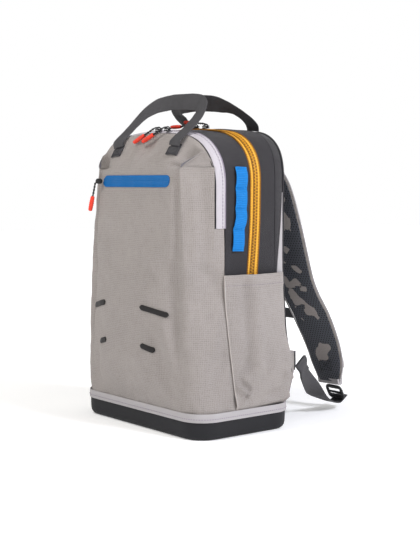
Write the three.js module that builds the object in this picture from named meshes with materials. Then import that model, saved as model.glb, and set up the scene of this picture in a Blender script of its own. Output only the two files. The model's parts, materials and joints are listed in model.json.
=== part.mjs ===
// Tackle backpack with a moulded base tray, two zipped compartments, side pockets, two carry
// handles and a pair of padded shoulder straps. Millimetres, +X to the wearer's left, +Y towards
// the wearer's back, +Z up. The origin is the middle of the tray's flat underside.
import * as THREE from "three";

// Driving dimensions
const BAG_WIDTH = 300;
const BAG_DEPTH = 184;
const TRAY_CORNER = 37;
const TRAY_HEIGHT = 34;
const TRAY_WALL = 4;
const BINDING_LOW = 26.3;
const BINDING_HIGH = 38.5;
const BINDING_THICK = 1.2;
const FABRIC = 2;
const LINING = 1.5;
const GAP = 0.3;
const BODY_LOW = TRAY_HEIGHT + GAP;
const SEAM_Y = -43; // seam between the front shell and the gusset
const LID_ZIP_Y = -57; // front compartment's zip, at the rear edge of the hood
const MAIN_ZIP_Y = 12;
const TAPE_HALF = 9.4;
const MAIN_HINGE_Z = 227; // where the main zip ends and the front half starts to fold
const HOOD_HINGE_Z = 296; // where the front compartment's zip ends
const FOLD_LOW_Z = 194;
const HOOD_FOLD_LOW_Z = 272;
const RIDGE_Z = 382; // front edge of the sloping top
const EDGE_BAND = 17;
const HANDLE_WEBBING = 25.4;
const STRAP_WEBBING = 25;
const SMALL_WEBBING = 20;
const WEBBING_THICK = 1.8;
const POCKET_TOP = 231;

const COLOURS = {
  taupe: 0xb3aba6,
  pale: 0xd9d7d8,
  lavender: 0xcfc8d2,
  charcoal: 0x4a464b,
  webbing: 0x55555a,
  eva: 0x2c2d30,
  mesh: 0x1c1d20,
  plastic: 0x1d1e20,
  yellow: 0xe6a62a,
  blue: 0x1277c4,
  red: 0xc8372c,
  lining: 0x6d6b70,
};

const bag = new THREE.Group();

function add(name, geometry, colour, roughness = 0.85) {
  const material = new THREE.MeshStandardMaterial({ color: COLOURS[colour], roughness, metalness: 0 });
  const mesh = new THREE.Mesh(geometry, material);
  mesh.name = name;
  bag.add(mesh);
}

// The piece on the wearer's left and its mirror image on the right.
function addPair(name, geometry, colour, roughness) {
  add(`${name}_left`, geometry, colour, roughness);
  const other = geometry.index ? geometry.toNonIndexed() : geometry.clone();
  other.scale(-1, 1, 1);
  const corners = other.getAttribute("position").array;
  for (let i = 0; i < corners.length; i += 9) {
    for (let k = 0; k < 3; k++) [corners[i + 3 + k], corners[i + 6 + k]] = [corners[i + 6 + k], corners[i + 3 + k]];
  }
  other.computeVertexNormals();
  add(`${name}_right`, other, colour, roughness);
}

// ---------------------------------------------------------------- small tools

const V = (x, y, z) => new THREE.Vector3(x, y, z);
const mix = (a, b, t) => a + (b - a) * t;

// Value of a smooth table [[key, value], ...] at a key.
function table(rows, key) {
  if (key <= rows[0][0]) return rows[0][1];
  for (let i = 1; i < rows.length; i++) {
    const [k1, v1] = rows[i];
    const [k0, v0] = rows[i - 1];
    if (key <= k1) return mix(v0, v1, (key - k0) / (k1 - k0));
  }
  return rows[rows.length - 1][1];
}

function closedGeometry(positions, indices) {
  let volume = 0;
  const at = (i) => V(positions[3 * i], positions[3 * i + 1], positions[3 * i + 2]);
  for (let i = 0; i < indices.length; i += 3) {
    volume += at(indices[i]).dot(at(indices[i + 1]).cross(at(indices[i + 2])));
  }
  const faces = volume < 0 ? [...indices].reverse() : indices;
  const geometry = new THREE.BufferGeometry();
  geometry.setAttribute("position", new THREE.Float32BufferAttribute(positions, 3));
  geometry.setIndex(faces);
  geometry.computeVertexNormals();
  return geometry;
}

// Thick sheet over a grid of points grid[i][j], which thickens along the normal di x dj.
function sheet(grid, thick, closed = false) {
  const rows = grid.length;
  const columns = grid[0].length;
  const wrap = (i) => (closed ? (i + rows) % rows : Math.min(Math.max(i, 0), rows - 1));
  const clamp = (j) => Math.min(Math.max(j, 0), columns - 1);
  const outer = [];
  const inner = [];
  for (let i = 0; i < rows; i++) {
    for (let j = 0; j < columns; j++) {
      const du = grid[wrap(i + 1)][j].clone().sub(grid[wrap(i - 1)][j]);
      const dv = grid[i][clamp(j + 1)].clone().sub(grid[i][clamp(j - 1)]);
      const normal = du.cross(dv).normalize();
      outer.push(grid[i][j]);
      inner.push(grid[i][j].clone().addScaledVector(normal, thick));
    }
  }
  const positions = [...outer, ...inner].flatMap((p) => [p.x, p.y, p.z]);
  const id = (i, j, side) => side * rows * columns + wrap(i) * columns + j;
  const indices = [];
  const quad = (a, b, c, d) => indices.push(a, b, c, a, c, d);
  const last = closed ? rows : rows - 1;
  for (let i = 0; i < last; i++) {
    for (let j = 0; j < columns - 1; j++) {
      quad(id(i, j, 0), id(i + 1, j, 0), id(i + 1, j + 1, 0), id(i, j + 1, 0));
      quad(id(i, j, 1), id(i, j + 1, 1), id(i + 1, j + 1, 1), id(i + 1, j, 1));
    }
    quad(id(i, 0, 0), id(i, 0, 1), id(i + 1, 0, 1), id(i + 1, 0, 0));
    const j = columns - 1;
    quad(id(i, j, 0), id(i + 1, j, 0), id(i + 1, j, 1), id(i, j, 1));
  }
  if (!closed) {
    for (let j = 0; j < columns - 1; j++) {
      quad(id(0, j, 0), id(0, j + 1, 0), id(0, j + 1, 1), id(0, j, 1));
      const i = rows - 1;
      quad(id(i, j, 0), id(i, j, 1), id(i, j + 1, 1), id(i, j + 1, 0));
    }
  }
  return closedGeometry(positions, indices);
}

// Solid through a run of closed rings, with a fan cap on the first and the last.
function loft(rings) {
  const count = rings[0].length;
  const points = rings.flat();
  const indices = [];
  for (let r = 0; r < rings.length - 1; r++) {
    for (let k = 0; k < count; k++) {
      const a = r * count + k;
      const b = r * count + ((k + 1) % count);
      indices.push(a, b, b + count, a, b + count, a + count);
    }
  }
  const cap = (ring, start, flip) => {
    const middle = ring.reduce((s, p) => s.add(p), V(0, 0, 0)).multiplyScalar(1 / count);
    points.push(middle);
    for (let k = 0; k < count; k++) {
      const a = start + k;
      const b = start + ((k + 1) % count);
      indices.push(...(flip ? [b, a, points.length - 1] : [a, b, points.length - 1]));
    }
  };
  cap(rings[0], 0, true);
  cap(rings[rings.length - 1], (rings.length - 1) * count, false);
  return closedGeometry(points.flatMap((p) => [p.x, p.y, p.z]), indices);
}

// Ring of a rectangle with round corners, at height z.
function roundedRectangle(width, depth, radius, z, steps = 6) {
  const ring = [];
  const corners = [[1, 1], [-1, 1], [-1, -1], [1, -1]];
  corners.forEach(([sx, sy], c) => {
    for (let k = 0; k <= steps; k++) {
      const angle = ((c + k / steps) * Math.PI) / 2;
      const x = sx * (width / 2 - radius) + radius * Math.cos(angle);
      const y = sy * (depth / 2 - radius) + radius * Math.sin(angle);
      ring.push(V(x, y, z));
    }
  });
  return ring;
}

// Frames along a curve: point, tangent, width direction and outward normal.
function frames(curve, steps, widthHint) {
  const made = [];
  for (let i = 0; i <= steps; i++) {
    const u = i / steps;
    const point = curve.getPointAt(u);
    const tangent = curve.getTangentAt(u);
    const hint = widthHint(u);
    const across = hint.clone().addScaledVector(tangent, -hint.dot(tangent)).normalize();
    made.push({ u, point, tangent, across, normal: tangent.clone().cross(across).normalize() });
  }
  return made;
}

// Webbing along frames, `lift` above the frames' line.
function ribbon(along, width, thick, lift = 0) {
  const grid = along.map((f) =>
    [0.5, -0.5].map((side) =>
      f.point
        .clone()
        .addScaledVector(f.across, side * width)
        .addScaledVector(f.normal, lift + thick / 2),
    ),
  );
  return sheet(grid, thick);
}

const mirrored = (points) => points.map((p) => V(-p.x, p.y, p.z));

// ---------------------------------------------------------------- body surface

// Rear edge of the side wall: the lower back steps out to the tray's rear edge.
const BACK_Y = [
  [34, 89.6], [39, 89.6], [55, 90], [70, 88.5], [90, 84.5], [110, 80], [150, 73], [200, 69], [240, 67],
];
const BACK_X = [[34, 117], [39, 118], [60, 133], [80, 141.5], [100, 143.5]];
const BAND_X = [[34, 142.5], [39, 142.8], [60, 146], [100, 147.5]];
const backY = (z) => table(BACK_Y, z);

// The main zip swings forward a little towards its lower ends.
const MAIN_ZIP_PATH = [[34, 4], [227, 4.5], [260, 7.5], [310, 11], [360, MAIN_ZIP_Y]];

// Stations across the gusset: 0 the front seam, 1 the main zip, 2 the edge band, 3 the back.
const ARCH_TOP = [[-1, 432], [0, 436], [1, 439], [2, 441], [3, 438.5]];
const ARCH_SQUARENESS = [[0, 2], [1, 2.1], [2, 2.6], [3, 2.6]];
const ARCH_CENTRE_X = 65;
const ARCH_DROP = 73;
const ARCH_RISE = 69;

function stationY(station, z) {
  if (station <= 0) return mix(SEAM_Y, LID_ZIP_Y, -station);
  const zip = table(MAIN_ZIP_PATH, z);
  if (station <= 1) return mix(SEAM_Y, zip, station);
  const band = backY(z) - EDGE_BAND;
  if (station <= 2) return mix(zip, band, station - 1);
  return mix(band, backY(z), station - 2);
}

function stationX(station, z) {
  if (station <= 0) return mix(147, 144.5, -station);
  if (station <= 1) return mix(147, 148.5, station);
  const band = table(BAND_X, z);
  if (station <= 2) return mix(148.5, band, station - 1);
  return band - (band - table(BACK_X, z)) * (station - 2) ** 1.6;
}

const archFoot = (station) => table(ARCH_TOP, station) - ARCH_DROP;

// Point of the arch at an angle from its round corner's foot (0) to its start of the flat (90).
function archCorner(station, degrees, inset = 0) {
  const foot = archFoot(station);
  const angle = (Math.min(degrees, 89.99) * Math.PI) / 180;
  const power = 2 / table(ARCH_SQUARENESS, station);
  const x = ARCH_CENTRE_X + (stationX(station, foot) - inset - ARCH_CENTRE_X) * Math.cos(angle) ** power;
  const z = foot + (ARCH_RISE - inset) * Math.sin(angle) ** power;
  return V(x, stationY(station, z), z);
}

// Half width of the arch at a height.
function archHalfWidth(station, z) {
  const rise = Math.min(Math.max((z - archFoot(station)) / ARCH_RISE, 0), 1);
  const power = table(ARCH_SQUARENESS, station);
  return ARCH_CENTRE_X + (stationX(station, z) - ARCH_CENTRE_X) * (1 - rise ** power) ** (1 / power);
}

function archCrown(station, x, inset = 0) {
  const rise = ARCH_DROP - ARCH_RISE;
  const z = archFoot(station) + ARCH_RISE - inset + rise * (1 - (x / ARCH_CENTRE_X) ** 2);
  return V(x, stationY(station, z), z);
}

// Outline over the bag from right to left at a station, starting at the given side heights.
function archOutline(station, heights, inset = 0) {
  const side = heights.map((z) => V(stationX(station, z) - inset, stationY(station, z), z));
  const corner = [0, 15, 30, 45, 60, 75, 90].map((a) => archCorner(station, a, inset));
  const crown = [32, 0].map((x) => archCrown(station, x, inset));
  const right = [...side, ...corner, ...crown];
  return [...right, ...mirrored(right.slice(0, -1)).reverse()];
}

// Arched wall between two stations.
function arch(from, to, heights, thick, inset = 0, steps = 1) {
  const lines = [];
  for (let j = 0; j <= steps; j++) lines.push(archOutline(mix(from, to, j / steps), heights, inset));
  return sheet(lines[0].map((_, i) => lines.map((line) => line[i])), thick);
}

// The front face's y away from its corners.
function faceY(x, z) {
  const share = Math.min(Math.abs(x) / FACE_HALF, 1);
  return table(FRONT_Y, z) - table(FACE_SWELL, z) * (1 - share ** 2.6);
}

// Front shell's horizontal section: side, round corner, front face, round corner, side.
const CORNER_X = [[34, 147.2], [39, 147], [60, 143], [100, 137], [200, 123], [300, 111], [382, 101]];
const FRONT_Y = [
  [34, -90], [39, -90.2], [60, -92], [110, -92.5], [190, -91.5], [250, -91], [320, -90], [382, -87.5],
];
const CORNER_R = [[34, 38], [100, 33], [200, 28], [382, 18]];
// How far the middle of the face swells in front of its corners.
const FACE_SWELL = [
  [39, 0], [60, 9], [90, 17], [120, 22.5], [180, 24.5], [230, 20], [280, 14], [332, 8], [362, 1.2], [382, 0.5],
];
const FACE_HALF = 96;
const SIDE_STEPS = 2;
const CORNER_STEPS = 5;

function frontSection(z, startStation) {
  const start = V(stationX(startStation, z), stationY(startStation, z), z);
  const corner = V(table(CORNER_X, z), table(FRONT_Y, z), z);
  const radius = table(CORNER_R, z);
  const back = start.clone().sub(corner).normalize();
  const across = V(-1, 0, 0);
  const half = Math.acos(back.dot(across)) / 2;
  const reach = radius / Math.tan(half);
  const from = corner.clone().addScaledVector(back, reach);
  const to = corner.clone().addScaledVector(across, reach);
  const centre = corner
    .clone()
    .addScaledVector(back.clone().add(across).normalize(), radius / Math.sin(half));
  const points = [];
  for (let k = 0; k < SIDE_STEPS; k++) points.push(start.clone().lerp(from, k / SIDE_STEPS));
  for (let k = 0; k <= CORNER_STEPS; k++) {
    const chord = from.clone().lerp(to, k / CORNER_STEPS).sub(centre).setLength(radius);
    points.push(centre.clone().add(chord));
  }
  [0.75, 0.5, 0.25, 0].forEach((share) => points.push(V(share * to.x, faceY(share * to.x, z), z)));
  return [...points, ...mirrored(points.slice(0, -1)).reverse()];
}

function frontShell(heights, startStation) {
  const rows = heights.map((z) => frontSection(z, startStation));
  return sheet(rows[0].map((_, i) => rows.map((row) => row[i])), FABRIC);
}

// Hood: front face, sides and the slope from the ridge back to the front compartment's zip.
const HOOD_STATION = -1.1;
const FLAP_STATION = -0.94;
const SHOULDER_LOW = 38;
const SHOULDER_HIGH = 50;

function hoodRows() {
  const rows = [HOOD_HINGE_Z + GAP, 325, 345, 362, RIDGE_Z].map((z) => frontSection(z, HOOD_STATION));
  const ridge = rows[rows.length - 1];
  const sideLast = SIDE_STEPS + CORNER_STEPS / 2;
  const half = (ridge.length - 1) / 2;
  const topPoint = (i) => {
    if (i <= sideLast) return archCorner(HOOD_STATION, mix(SHOULDER_LOW, SHOULDER_HIGH, i / sideLast));
    const share = (i - sideLast) / (half - sideLast);
    const along = share * 100;
    if (along < 40) return archCorner(HOOD_STATION, mix(SHOULDER_HIGH, 90, along / 40));
    return archCrown(HOOD_STATION, mix(ARCH_CENTRE_X, 0, (along - 40) / 60));
  };
  const foot = archFoot(HOOD_STATION);
  const ridgeAngle = (Math.asin((RIDGE_Z - foot) / ARCH_RISE) * 180) / Math.PI;
  [0.35, 0.7, 1].forEach((w) => {
    const right = [];
    for (let i = 0; i <= half; i++) {
      const plain = ridge[i].clone().lerp(topPoint(i), w);
      if (i < sideLast) {
        const edge = archCorner(HOOD_STATION, mix(ridgeAngle, SHOULDER_LOW, w));
        const chord = ridge[0].clone().lerp(topPoint(0), w);
        plain.addScaledVector(edge.sub(chord), 1 - i / sideLast);
      }
      right.push(plain);
    }
    rows.push([...right, ...mirrored(right.slice(0, -1)).reverse()]);
  });
  return rows;
}

// ---------------------------------------------------------------- base

function makeBase() {
  const width = BAG_WIDTH - 2 * (BINDING_THICK + GAP);
  const depth = BAG_DEPTH - 2 * (BINDING_THICK + GAP);
  const radius = TRAY_CORNER - BINDING_THICK - GAP;
  const ring = (inset, z) =>
    roundedRectangle(width - 2 * inset, depth - 2 * inset, Math.max(radius - inset, 6), z);
  add(
    "base_tray",
    loft([
      ring(9, 0),
      ring(4.5, 1.2),
      ring(1.6, 4.6),
      ring(0.4, 9),
      ring(0, 18),
      ring(0, TRAY_HEIGHT),
      ring(TRAY_WALL, TRAY_HEIGHT),
      ring(TRAY_WALL + 1, 9),
      ring(TRAY_WALL + 8, TRAY_WALL),
    ]),
    "eva",
    0.6,
  );
  const band = [BINDING_HIGH, BINDING_LOW].map((z) =>
    roundedRectangle(BAG_WIDTH, BAG_DEPTH, TRAY_CORNER, z),
  );
  add("base_binding", sheet(band[0].map((_, i) => band.map((row) => row[i])), BINDING_THICK, true), "pale");
}

// ---------------------------------------------------------------- fixed body

const LOW_SIDE = [BODY_LOW, 39, 47, 60, 80, 100, 130, 170, 200, 240, 300];
const HIGH_SIDE = [MAIN_HINGE_Z + GAP, 260, 310];
const MAIN_ZIP_FRONT = 1 - TAPE_HALF / (MAIN_ZIP_Y - SEAM_Y);
const MAIN_ZIP_REAR = 1 + TAPE_HALF / (67 - EDGE_BAND - MAIN_ZIP_Y);
const STATION_SEAM = 1.4 / (MAIN_ZIP_Y - SEAM_Y); // clearance of the gusset behind the front seam
const STATION_GAP_FRONT = GAP / (MAIN_ZIP_Y - SEAM_Y);
const STATION_GAP_REAR = GAP / (67 - EDGE_BAND - MAIN_ZIP_Y);

function makeFixedBody() {
  const lowFront = frontShell([BODY_LOW, 39, 60, 90, 130, 165, FOLD_LOW_Z], 0);
  add("front_shell_lower", lowFront, "taupe");
  const rows = [BODY_LOW, 60, 100, 150, MAIN_HINGE_Z - GAP].map((z) =>
    [STATION_SEAM, 0.5, 1, MAIN_ZIP_REAR - STATION_GAP_REAR].map((s) => V(stationX(s, z), stationY(s, z), z)),
  );
  addPair("lower_gusset", sheet(rows, FABRIC), "charcoal");
  add("rear_gusset", arch(MAIN_ZIP_REAR, 2 - 5 * STATION_GAP_REAR, LOW_SIDE, FABRIC), "charcoal");
  add("back_edge_band", arch(2, 3, LOW_SIDE, FABRIC, 0, 2), "pale");
  add(
    "main_zip_tape_rear",
    arch(1 + STATION_GAP_REAR, MAIN_ZIP_REAR - 2 * STATION_GAP_REAR, HIGH_SIDE, 1.2, 0.4),
    "yellow",
    0.6,
  );
  add("back_panel", backSheet(GAP + 3.4, 3), "charcoal");
  const low = [BODY_LOW + 1, MAIN_HINGE_Z - GAP];
  const lowRows = low.map((z) => [V(144.4, SEAM_Y + 2.6, z), V(-144.4, SEAM_Y + 2.6, z)]);
  add("divider_lower", sheet(lowRows, LINING), "lining");
}

// Sheet over the back, between the binding and the arch, its outside `offset` behind the edge band.
function backSheet(offset, thick) {
  const heights = [BINDING_HIGH + GAP, 60, 80, 110, 150, 200, 250, 310, 361, 385, 405, 420, 430, 433];
  const rows = heights.map((z) => {
    const wide = archHalfWidth(3, z) - 1.5;
    return [1, 0.5, 0, -0.5, -1].map((s) => V(s * wide, backY(z) + offset, z));
  });
  return sheet(rows, thick);
}

// ---------------------------------------------------------------- side pockets

function makeSidePockets() {
  const heights = [BINDING_HIGH + GAP, 52, 70, 95, 130, 170, 205, POCKET_TOP];
  const bulgeByHeight = [[38, 1], [60, 6], [100, 10], [160, 10], [231, 8.5]];
  const rows = heights.map((z) => {
    const shares = [0, 0.08, 0.25, 0.5, 0.75, 0.92, 1];
    return shares.map((share) => {
      const y = mix(SEAM_Y - 0.5, backY(z) - 1.2, share);
      const zip = table(MAIN_ZIP_PATH, z);
      const band = backY(z) - EDGE_BAND;
      let station = (y - SEAM_Y) / (zip - SEAM_Y);
      if (y > zip) station = 1 + (y - zip) / (band - zip);
      if (y > band) station = 2 + (y - band) / EDGE_BAND;
      const bulge = table(bulgeByHeight, z) * Math.sin(Math.PI * share) ** 0.7;
      const clear = 2.1 + table([[0.7, 0], [1, table([[38, 3.6], [110, 1.2]], z)]], share);
      return V(stationX(Math.max(station, 0), z) + clear + bulge, y, z);
    });
  });
  addPair("side_pocket", sheet(rows, LINING), "taupe");
}

// ---------------------------------------------------------------- back padding

// Crowned pad behind the back panel, between two x values and two heights.
function backPad(x0, x1, z0, z1, thick, corner, clear) {
  const rings = [0, 0.35, 0.8, 1].map((share) => {
    const inset = [0, 0.5, 2.5, 9][Math.round(share * 3)];
    const lift = [0, thick * 0.5, thick * 0.85, thick][Math.round(share * 3)];
    const ring = roundedRectangle(x1 - x0 - 2 * inset, z1 - z0 - 2 * inset, Math.max(corner - inset, 3), 0, 4);
    return ring.map((p) => {
      const z = p.y + (z0 + z1) / 2;
      return V(p.x + (x0 + x1) / 2, backY(z) + GAP + 3.4 + clear + lift, z);
    });
  });
  return loft(rings);
}

function makeBackPads() {
  addPair("back_pad", backPad(10, 104, 152, 372, 13, 22, 0.4), "mesh");
  add("lumbar_pad", backPad(-104, 104, 52, 142, 12, 24, 2.4), "mesh");
}

// ---------------------------------------------------------------- front half

function makeFrontHalf() {
  const zipStart = MAIN_ZIP_FRONT - STATION_GAP_FRONT;
  add("front_fold_panel", frontShell([FOLD_LOW_Z + GAP, 210, MAIN_HINGE_Z - GAP], 0), "taupe");
  add("front_shell_middle", frontShell([MAIN_HINGE_Z + GAP, 250, HOOD_FOLD_LOW_Z], 0), "taupe");
  add("front_gusset", arch(STATION_SEAM, zipStart, HIGH_SIDE, FABRIC), "charcoal");
  add("main_zip_tape_front", arch(MAIN_ZIP_FRONT, 1 - STATION_GAP_FRONT, HIGH_SIDE, 1.2, 0.4), "yellow", 0.6);
  add("zip_flap", arch(FLAP_STATION, 0, [HOOD_HINGE_Z + GAP, 325], 1.6), "lavender", 0.5);
  const top = archOutline(0, [MAIN_HINGE_Z + GAP, 250, 300], FABRIC + GAP + 0.6);
  const half = (top.length - 1) / 2;
  const rows = top.slice(0, half).map((p) => [V(p.x, SEAM_Y + 2.6, p.z), V(-p.x, SEAM_Y + 2.6, p.z)]);
  add("divider_upper", sheet(rows, LINING), "lining");
}

function makeHoodFold() {
  add("hood_fold_panel", frontShell([HOOD_FOLD_LOW_Z + GAP, 284, HOOD_HINGE_Z - GAP], 0), "taupe");
}

// Blue webbing ladder sewn to the gusset in front of the main zip.
function makeDaisyChains() {
  const rows = [264, 287, 310, 335, 360, 382].map((z) => {
    const y = table([[264, -20], [310, -17], [382, -14]], z);
    const station = (y - SEAM_Y) / (table(MAIN_ZIP_PATH, z) - SEAM_Y);
    const x = archHalfWidth(station, z);
    return [-SMALL_WEBBING / 2, SMALL_WEBBING / 2].map((dy) => V(x + GAP + 2.6, y + dy, z));
  });
  addPair("daisy_chain", sheet(rows, 1.6), "blue");
}

// ---------------------------------------------------------------- hood and what is on it

// Flat strip on the front face from one end to the other, `lift` in front of it.
function faceStrip(from, to, width, lift, thick, steps) {
  const along = V(to[0] - from[0], 0, to[1] - from[1]).normalize();
  const rows = [];
  for (let i = 0; i <= steps; i++) {
    const x = mix(from[0], to[0], i / steps);
    const z = mix(from[1], to[1], i / steps);
    rows.push(
      [0.5, 0, -0.5].map((s) => {
        const [px, pz] = [x - s * width * along.z, z + s * width * along.x];
        return V(px, faceY(px, pz) - lift, pz);
      }),
    );
  }
  return sheet(rows, -thick);
}

function makeHood() {
  const rows = hoodRows();
  add("hood", sheet(rows[0].map((_, i) => rows.map((row) => row[i])), FABRIC), "taupe");
  add("pocket_zip_tape", faceStrip([-85, 362], [83, 362], 17, 1, 1.2, 8), "blue", 0.5);
  const liner = new THREE.BoxGeometry(150, 1.6, 70);
  liner.translate(0, faceY(0, 362) + 12, 328);
  add("zip_pocket_liner", liner, "lining");
}

function makeLashTabs() {
  addPair("lash_tab_upper", faceStrip([45, 183.5], [92, 174], 8, 3, 1.2, 8), "plastic", 0.6);
  addPair("lash_tab_lower", faceStrip([43, 128], [68, 122], 8, 0.9, 1.2, 4), "plastic", 0.6);
}

// ---------------------------------------------------------------- zip sliders and pulls

const ringAround = (centre, across, up, width, height) =>
  [[1, 0.5], [0.5, 1], [-0.5, 1], [-1, 0.5], [-1, -0.5], [-0.5, -1], [0.5, -1], [1, -0.5]].map(
    ([a, b]) =>
      centre
        .clone()
        .addScaledVector(across, (a * width) / 2)
        .addScaledVector(up, (b * height) / 2),
  );

// Solid with an eight-sided section swept along points, each [point, width, height].
function sweep(stations, side) {
  return loft(
    stations.map(([point, width, height], i) => {
      const before = stations[Math.max(i - 1, 0)][0];
      const after = stations[Math.min(i + 1, stations.length - 1)][0];
      const along = after.clone().sub(before).normalize();
      const across = side.clone().addScaledVector(along, -side.dot(along)).normalize();
      return ringAround(point, across, along.clone().cross(across), width, height);
    }),
  );
}

// Zip slider lying along x, with its underside at `position`, and its pull: cord, then moulded grip.
function makeSlider(name, position, up, pullStart, pullEnd) {
  const across = up.clone().cross(V(1, 0, 0)).normalize();
  const middle = position.clone().addScaledVector(up, 2.2);
  const body = [[-6.5, 5, 3.4], [-4, 8, 4.4], [3, 8, 4.4], [6.5, 6, 3.4]].map(([dx, width, height]) => [
    middle.clone().add(V(dx, 0, 0)),
    width,
    height,
  ]);
  add(`${name}_slider`, sweep(body, across), "plastic", 0.45);
  const pull = [[0, 2.4], [0.45, 2.4], [0.49, 6], [0.95, 6.6], [1, 4]].map(([share, size]) => [
    pullStart.clone().lerp(pullEnd, share),
    size,
    Math.min(size, 5),
  ]);
  add(`${name}_pull`, sweep(pull, across), "red", 0.55);
}

function makeSliders() {
  const main = 439.8;
  makeSlider("main_zip_left", V(36, MAIN_ZIP_Y, main), V(0, 0, 1), V(29, 13.5, 447.2), V(-14, 10.8, 450.8));
  makeSlider("main_zip_right", V(12, MAIN_ZIP_Y, main), V(0, 0, 1), V(4, 6.5, 444.5), V(-39, 4, 444));
  const front = 434.2;
  const rest = (x) => hoodSurface(x, 0.7).addScaledVector(slopeNormal(x, 0.7), 4.5);
  makeSlider("front_zip_left", V(34, LID_ZIP_Y, front), V(0, 0, 1), V(32, -63, 439), rest(-9));
  makeSlider("front_zip_right", V(12, LID_ZIP_Y, front), V(0, 0, 1), V(10, -63, 439), rest(-31));
  const zip = faceY(0, 362) - 4;
  makeSlider("pocket_zip", V(-88, zip, 362), V(0, -1, 0), V(-92, zip - 6.5, 359), V(-97, zip - 13, 317));
}

// ---------------------------------------------------------------- hood surface for sewn pieces

// Point of the slope at x, `share` of the way from the ridge to the zip.
function hoodSurface(x, share) {
  const rows = hoodRows().slice(-4);
  const shares = [0, 0.35, 0.7, 1];
  const onRow = (row) => {
    for (let i = 1; i < row.length; i++) {
      const [a, b] = [row[i - 1], row[i]];
      if (a.z >= RIDGE_Z - 1 && (a.x - x) * (b.x - x) <= 0) return a.clone().lerp(b, (x - a.x) / (b.x - a.x));
    }
    return row[0].clone();
  };
  let k = 1;
  while (k < 3 && share > shares[k]) k++;
  return onRow(rows[k - 1]).lerp(onRow(rows[k]), (share - shares[k - 1]) / (shares[k] - shares[k - 1]));
}

function slopeNormal(x, share) {
  const up = hoodSurface(x, share + 0.05).sub(hoodSurface(x, share - 0.05));
  const across = hoodSurface(x + 3, share).sub(hoodSurface(x - 3, share));
  return across.cross(up).normalize();
}

const onSlope = (x, share, lift) => hoodSurface(x, share).addScaledVector(slopeNormal(x, share), lift);

// ---------------------------------------------------------------- handles

// Direction across the webbing: along x at the sewn ends, near upright at the top of the loop.
function handleTwist(lean) {
  return (u) => {
    const turn = THREE.MathUtils.smoothstep(Math.min(u, 1 - u) * 2, 0.12, 0.85);
    return V((u < 0.5 ? 1 : -1) * (1 - turn), turn * lean, turn * 0.95);
  };
}

const handleCurve = (points) => new THREE.CatmullRomCurve3(points, false, "centripetal");

function frontHandlePoints() {
  return [
    onSlope(70, 0.63, 2.8),
    onSlope(71, 0.76, 5.5),
    V(74, -48, 439.5),
    V(73, -33, 454),
    V(67, -21, 467),
    V(50, -11, 475.5),
    V(25, -7, 479),
    V(0, -6, 480),
    V(-25, -7, 480),
    V(-50, -11, 476.5),
    V(-66, -21, 467),
    V(-72, -37, 451),
    V(-73, -50, 438.5),
    onSlope(-71, 0.76, 5.5),
    onSlope(-70, 0.63, 2.8),
  ];
}

const REAR_HANDLE_SIDE = [
  V(70, 74.8, 436.5),
  V(70.2, 74.6, 438.6),
  V(72, 71.5, 444),
  V(75, 64, 450),
  V(74.5, 53, 457.5),
  V(69, 41, 465.5),
  V(59, 30, 472),
  V(44, 22, 476),
  V(25, 19, 478),
];

function makeHandles() {
  const front = frames(handleCurve(frontHandlePoints()), 48, handleTwist(0.35));
  add("front_handle", ribbon(front, HANDLE_WEBBING, WEBBING_THICK), "webbing");
  const points = [...REAR_HANDLE_SIDE, V(0, 18.5, 478.5), ...mirrored(REAR_HANDLE_SIDE).reverse()];
  const rear = frames(handleCurve(points), 44, handleTwist(-0.35));
  add("rear_handle", ribbon(rear, HANDLE_WEBBING, WEBBING_THICK), "webbing");
}

// Sewn ends of the handles.
function makeHandleTabs() {
  const front = [0.36, 0.48, 0.6].map((share) =>
    [-0.5, 0, 0.5].map((s) => onSlope(70 + s * HANDLE_WEBBING, share, 3)),
  );
  addPair("front_handle_tab", sheet(front, WEBBING_THICK), "webbing");
  const rear = [433, 412].map((z) => [-0.5, 0.5].map((s) => V(70 + s * HANDLE_WEBBING, 74, z)));
  addPair("rear_handle_tab", sheet(rear, WEBBING_THICK), "webbing");
}

// ---------------------------------------------------------------- shoulder straps

// Stations down the pad: y and z of the outer edge, then y and z of the inner edge.
const STRAP_EDGES = [
  [75.5, 402, 75.5, 402],
  [86, 394, 80, 395],
  [102, 376, 88, 379],
  [114, 358, 97, 362],
  [123, 338, 104, 342],
  [132, 313, 112, 316],
  [142, 283, 121, 285],
  [152, 250, 131, 251],
  [164, 213, 144, 214],
  [176, 190, 156, 190],
  [195, 162, 173, 162],
  [210, 134, 190, 134],
  [222, 105, 207, 105],
  [228, 82, 219, 80],
  [230, 62, 226, 60],
  [228, 42, 231, 40],
];
const STRAP_OUTER_X = [[0, 106], [3, 112], [13, 112], [15, 104]];
const STRAP_INNER_X = [[0, 46], [13, 48], [15, 58]];
const STRAP_HALF_THICK = [[0, 2], [2, 5.5], [13, 5.5], [15, 3.5]];

function strapStation(i) {
  const low = Math.floor(Math.min(i, STRAP_EDGES.length - 2));
  const row = STRAP_EDGES[low].map((v, k) => mix(v, STRAP_EDGES[low + 1][k], i - low));
  const outer = V(table(STRAP_OUTER_X, i), row[0], row[1]);
  const inner = V(table(STRAP_INNER_X, i), row[2], row[3]);
  return { outer, inner, middle: outer.clone().lerp(inner, 0.5) };
}

// The pad at a station: its middle, half its width towards the outer edge, and the outward normal.
function strapFrame(i) {
  const here = strapStation(i);
  const next = strapStation(Math.min(i + 0.5, STRAP_EDGES.length - 1)).middle;
  const along = next.sub(strapStation(Math.max(i - 0.5, 0)).middle);
  const across = here.outer.clone().sub(here.inner).multiplyScalar(0.5);
  return { ...here, across, normal: across.clone().cross(along).normalize() };
}

const STRAP_SECTION = [[1, 0.35], [0.86, 1], [0, 1], [-0.86, 1], [-1, 0.35]];

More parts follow.
